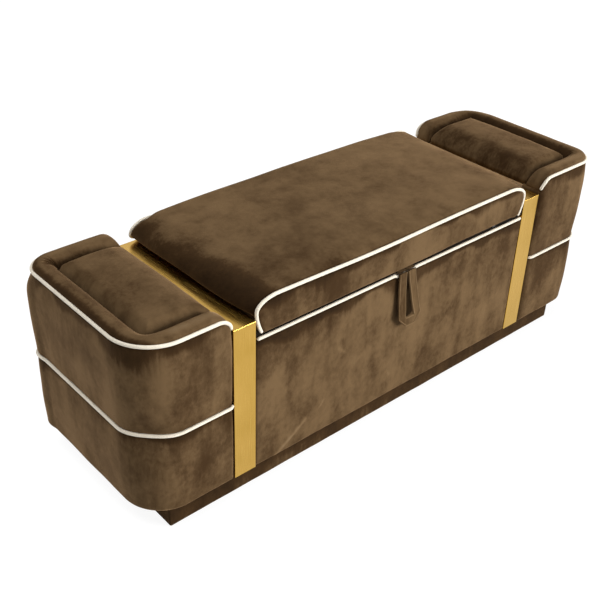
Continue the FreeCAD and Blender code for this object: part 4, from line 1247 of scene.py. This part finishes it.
def make_facings():
    """Padded front and back faces of the storage box."""
    low_x, high_x = facing_low.x, facing_high.x
    low_z, high_z = facing_low.z, facing_high.z
    x = fine_edges(low_x, high_x, facing_columns, facing_edge)
    z = fine_edges(low_z, high_z, facing_rows, facing_edge)
    grid_x, grid_z = np.meshgrid(x, z, indexing="ij")
    to_side = np.minimum(grid_x - low_x, high_x - grid_x)
    to_end = np.minimum(grid_z - low_z, high_z - grid_z)
    proud = facing_edge * shoulder(to_side, facing_edge) * shoulder(to_end, facing_edge)

    def press_and_painted_light(points):
        reach = ragged_reach(points, facing_press_reach, face_wander, most=facing_most_reach)
        dark = facing_press * fading(high_z - points[:, 2], reach)
        # painted highlight along the creases
        crease_highlight = creased(points[:, 0], points[:, 2]) / crease_height
        # painted shadow round and below the strap, also standing for pile pressed by it
        aside = np.maximum(np.abs(points[:, 0] - strap_x) - strap_width, 0)
        below = np.maximum(loop_low.z - points[:, 2], 0)
        shadow_and_mark = strap_shadow_and_mark * fading(aside + below, strap_shadow_reach)
        return dark + np.where(points[:, 1] < 0, shadow_and_mark - crease_highlight, 0)

    for end, direction, ridge_and_highlight in (("front", -1, creased(grid_x, grid_z)), ("back", 1, 0.0)):
        depth = facing_y - facing_edge + proud + ridge_and_highlight
        outer = xyz(grid_x, direction * depth, grid_z)
        outer = hand_made(outer, (0, direction, 0), *facing_unevenness)
        back = xyz(grid_x, direction * (facing_y - facing_depth), grid_z)
        velvet_piece("facing_" + end, closed_rows(outer, back), "root", "box_" + end + "_facing",
                     press_and_painted_light=press_and_painted_light, caps=True)


def make_box_piping():
    """Piping along the front rim of the box, dipping behind the pull strap."""
    x = np.linspace(-box_piping_end, box_piping_end, box_piping_points)
    from_strap = np.maximum(np.abs(x - (tabs_low.x + tabs_high.x) / 2) - strap_width, 0)
    z = box_piping_z - piping_dip * fading(from_strap, piping_dip_reach)
    piping_piece("box_front_piping", xyz(x, -box_piping_y, z), "root")


def make_plinth_cover():
    """Velvet wrapped round the plinth, turned in under its lower edge."""
    low, high = plinth_hem, plinth_high.z
    plan = joined(rounded_loop(plinth_high.x, plinth_high.y, plinth_corner, *plinth_counts))
    height = low + (high - low) * plinth_heights[None, :]
    outer = placed(plan, plinth_inward[None, :], height, 1)
    outer = hand_made(outer, side_normals(plan, outer.shape[1], 1), *plinth_unevenness)

    def press_and_painted_light(points):
        # painted shade over the whole plinth, with a painted shadow under the body's overhang at its top
        return plinth_shade + plinth_overhang_shadow * fading(high - points[:, 2], plinth_shadow_reach)

    velvet_piece("plinth_wrap", np.concatenate([outer, outer[:, :1]], axis=1), "root", "plinth_cover",
                 press_and_painted_light=press_and_painted_light, fill=0.9)


def from_strap_edge(share):
    return np.minimum(share, 1 - share) * strap_width


def bead_share(share):
    """1 on the beads along the strap's edges, 0 on its flat middle."""
    return fading(from_strap_edge(share) - strap_bead_place, strap_bead_reach)


def strap_section():
    """Closed outline of the strap: share of its width and depth, with a raised bead along each edge."""
    share = eased(strap_points)
    ends = shoulder(from_strap_edge(share), strap_edge)
    front = (strap_plate + strap_bead * bead_share(share)) * ends
    back = -strap_plate * ends
    return np.concatenate([share, share[-2::-1]]), np.concatenate([front, back[-2::-1]])


def strap_ribs():
    """Lines across the strap all along the loop, each as its inner and outer end along X and up."""
    top, bottom = loop_high.z, loop_low.z
    left, right = loop_low.x, loop_high.x
    left_in, right_in = left + strap_width, right - strap_width
    corner_z = bottom + strap_width
    second_leg = left_in + strap_gap
    ribs = [((left_in, top), (left, top)),
            ((left_in, corner_z), (left, corner_z)),
            ((left_in, corner_z), (left_in, bottom)),
            ((right_in, corner_z), (right_in, bottom)),
            ((right_in, corner_z), (right, corner_z)),
            ((second_leg, top), (second_leg + strap_width, top))]
    ribs = np.array(ribs)
    between = []
    for first, second in zip(ribs[:-1], ribs[1:]):
        steps = max(2, math.ceil(np.linalg.norm(second - first, axis=1).max() / strap_step))
        between += [first + (second - first) * i / steps for i in range(steps)]
    return np.array(between + [ribs[-1]])


def make_pull_strap():
    """Strap sewn into a loop with mitred lower corners, standing off further down."""
    share, depth = strap_section()
    ribs = strap_ribs()
    flat = ribs[:, :1] + share[None, :, None] * (ribs[:, 1:] - ribs[:, :1])
    fallen = (loop_high.z - flat[..., 1]) / (loop_high.z - loop_low.z)
    stand_off = strap_stand_off * (strap_curve * fallen ** 2 + (1 - strap_curve) * fallen)
    y = loop_high.y - strap_middle - stand_off - depth[None, :]
    points = xyz(flat[..., 0], y, flat[..., 1])
    points = hand_made(points, (0, -1, 0), *strap_unevenness)
    # darker middle of the strap, with a painted highlight on the beads along its edges
    press_and_painted_light = np.broadcast_to(strap_darkening - bead_highlight * bead_share(share), points.shape[:2])
    velvet_piece("pull_strap", points, "pull_loop", "pull_loop", press_and_painted_light=press_and_painted_light, fill=0.5)


def make_strap_ends():
    """Ends of the strap, sewn flat under the lid's front edge."""
    share, depth = strap_section()
    squeeze = (tabs_high.z - tabs_low.z) / (strap_plate * 2 + strap_bead)
    middle = tabs_high.z - squeeze * strap_plate
    y = np.linspace(tabs_low.y, tabs_high.y, strap_end_rows)[:, None]
    ends = []
    for left in (tabs_low.x, tabs_high.x - strap_width):
        x = left + share * strap_width
        z = middle - squeeze * depth
        ends.append(xyz(x, y, z))
    velvet_piece("strap_ends", ends, "lid", "pull_tabs", fill=0.5)


def make_box_lining():
    """Lining of the cavity, rounded into its corners and folded out over its rim."""
    x, y = liner_high.x, liner_high.y
    top, floor = liner_high.z, liner_low.z + lining_thickness
    r, lip = lining_floor_round, lining_lip
    hem_in, hem_down = lining_hem
    turn = np.radians(np.linspace(0, 90, lining_turn_points))
    profile = [(0.0, top - lining_thickness), (0.0, top - hem_down), (hem_in, top), (lining_rim - lip, top)]
    profile += [(lining_rim - lip + lip * math.sin(a), top - lip + lip * math.cos(a)) for a in turn]
    profile += [(lining_rim, z) for z in np.linspace(top - 2 * lip, floor + r, lining_wall_rows)[1:-1]]
    profile += [(lining_rim + r - r * math.cos(a), floor + r - r * math.sin(a)) for a in turn]
    profile += [(d, floor) for d in np.linspace(lining_rim + r, y - lining_slit, lining_floor_rows)[1:]]
    rows = []
    for inset, z in profile:
        corner = min(lining_corner, x - inset, y - inset)
        plan = rounded_loop(x - inset, y - inset, corner, *lining_counts)
        rows.append(xyz(plan[:, 0], plan[:, 1], z))
    shown = np.array(rows)
    towards = lining_middle - shown
    towards /= np.linalg.norm(towards, axis=2)[..., None]
    inside = (np.array(profile)[:, 0] > lining_rim - lip)[:, None, None]
    shown = hand_made(shown, towards * inside, *lining_unevenness)
    hidden = shown - towards * inside * lining_thickness * lining_wall_share
    hidden[..., 2] -= ~inside[..., 0] * lining_thickness * lining_rim_share
    points = np.concatenate([shown, hidden[::-1], shown[:1]], axis=0)
    piece = build("box_lining", points, lining, "root")
    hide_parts("box_liner")


def make_flat_cloth(name, replaced, body, low, high, ripple):
    """Thin stretched cloth between two corners, which may ripple a little along its edges."""
    x = fine_edges(low.x, high.x, cloth_columns, cloth_edge)
    y = fine_edges(low.y, high.y, cloth_rows, cloth_edge)
    grid_x, grid_y = np.meshgrid(x, y, indexing="ij")
    edge = np.minimum(high.x - np.abs(grid_x), high.y - np.abs(grid_y))
    middle = (low.z + high.z) / 2 + ripple * np.sin(grid_x / ripple_length) * fading(edge, ripple_reach)
    upper = xyz(grid_x, grid_y, middle + cloth_thickness / 2)
    lower = xyz(grid_x, grid_y, middle - cloth_thickness / 2)
    piece = build(name, closed_rows(upper, lower), lining, body, caps=True)
    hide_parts(replaced)


for side_name, side_sign in (("left", -1), ("right", 1)):
    make_upper_cover(side_name, side_sign)
    make_lower_cover(side_name, side_sign)
    make_roll(side_name, side_sign)
    make_pad(side_name, side_sign)
    make_block_piping(side_name, side_sign)
make_lid_cover()
make_lid_faces()
make_facings()
make_box_piping()
make_plinth_cover()
make_pull_strap()
make_strap_ends()
make_box_lining()
make_flat_cloth("lid_underlining", "lid_lining", "lid", lid_lining_low, lid_lining_high,
                ripple_depth)
make_flat_cloth("dust_cloth", "dust_cover", "root", dust_low, dust_high, 0.0)

# Finishes of the pieces that keep their own shape
finishes = {"velvet": velvet, "piping": piping, "brass": brass, "steel": steel,
            "plywood": plywood, "lining": lining, "felt": felt, "foam": felt}
for entry in frame["record"]["subparts"]:
    cad_mesh = nodes[entry["node"]].data
    cad_mesh.materials.clear()
    cad_mesh.materials.append(finishes[entry["material_slot"]])


# Stage, light and camera

def seen_directly(tree):
    """1 for what the camera, metal or glass sees, 0 for light that bounces."""
    ray = node(tree, "ShaderNodeLightPath")
    seen = math_node(tree, "MAXIMUM", ray.outputs["Is Camera Ray"], ray.outputs["Is Glossy Ray"])
    return math_node(tree, "MAXIMUM", seen, ray.outputs["Is Transmission Ray"])


def make_stage():
    floor_mesh = bpy.data.meshes.new("floor")
    corners = [(x * floor_reach, y * floor_reach, 0) for x, y in ((-1, -1), (1, -1), (1, 1), (-1, 1))]
    floor_mesh.from_pydata(corners, [], [(0, 1, 2, 3)])
    floor = new_object("floor", floor_mesh)
    made, tree, shader = new_material("floor", Base_Color=floor_colour, Roughness=0.9)
    glow = node(tree, "ShaderNodeEmission", {"Color": (1, 1, 1, 1), "Strength": floor_glow})
    share = math_node(tree, "MULTIPLY", seen_directly(tree), floor_glow_share)
    mix = node(tree, "ShaderNodeMixShader", {0: share, 1: shader.outputs[0], 2: glow.outputs[0]})
    tree.links.new(mix.outputs[0], tree.nodes["Material Output"].inputs["Surface"])
    floor_mesh.materials.append(made)


def make_world():
    world = bpy.data.worlds.new("studio")
    bpy.context.scene.world = world
    world.use_nodes = True
    tree = world.node_tree
    strength = math_node(tree, "MULTIPLY_ADD", seen_directly(tree), 1 - world_light, world_light)
    plug(tree, (1, 1, 1, 1), tree.nodes["Background"].inputs["Color"])
    plug(tree, strength, tree.nodes["Background"].inputs["Strength"])


def make_lamp(name, place, size, watts):
    lamp_data = bpy.data.lights.new(name, "AREA")
    lamp_data.shape = "SQUARE"
    lamp_data.size = size
    lamp_data.energy = watts
    lamp = new_object(name, lamp_data)
    lamp.location = place
    lamp.rotation_euler = (Vector(lamp_target) - Vector(place)).to_track_quat("-Z", "Y").to_euler()


def make_camera():
    azimuth = math.radians(camera_azimuth)
    elevation = math.radians(camera_elevation)
    back = Vector((math.sin(azimuth) * math.cos(elevation), -math.cos(azimuth) * math.cos(elevation),
                   math.sin(elevation)))
    turn = (-back).to_track_quat("-Z", "Y").to_matrix() @ Matrix.Rotation(math.radians(camera_roll), 3, "Z")
    camera_data = bpy.data.cameras.new("camera")
    camera_data.sensor_width = sensor_width
    camera_data.lens = focal_pixels / image_size * sensor_width
    camera_data.clip_end = view_depth
    camera = new_object("camera", camera_data)
    camera.matrix_world = Matrix.Translation(camera_place) @ turn.to_4x4()
    bpy.context.scene.camera = camera


make_stage()
make_world()
for lamp_values in lamps:
    make_lamp(*lamp_values)
make_camera()
bpy.context.scene.view_settings.view_transform = "Standard"
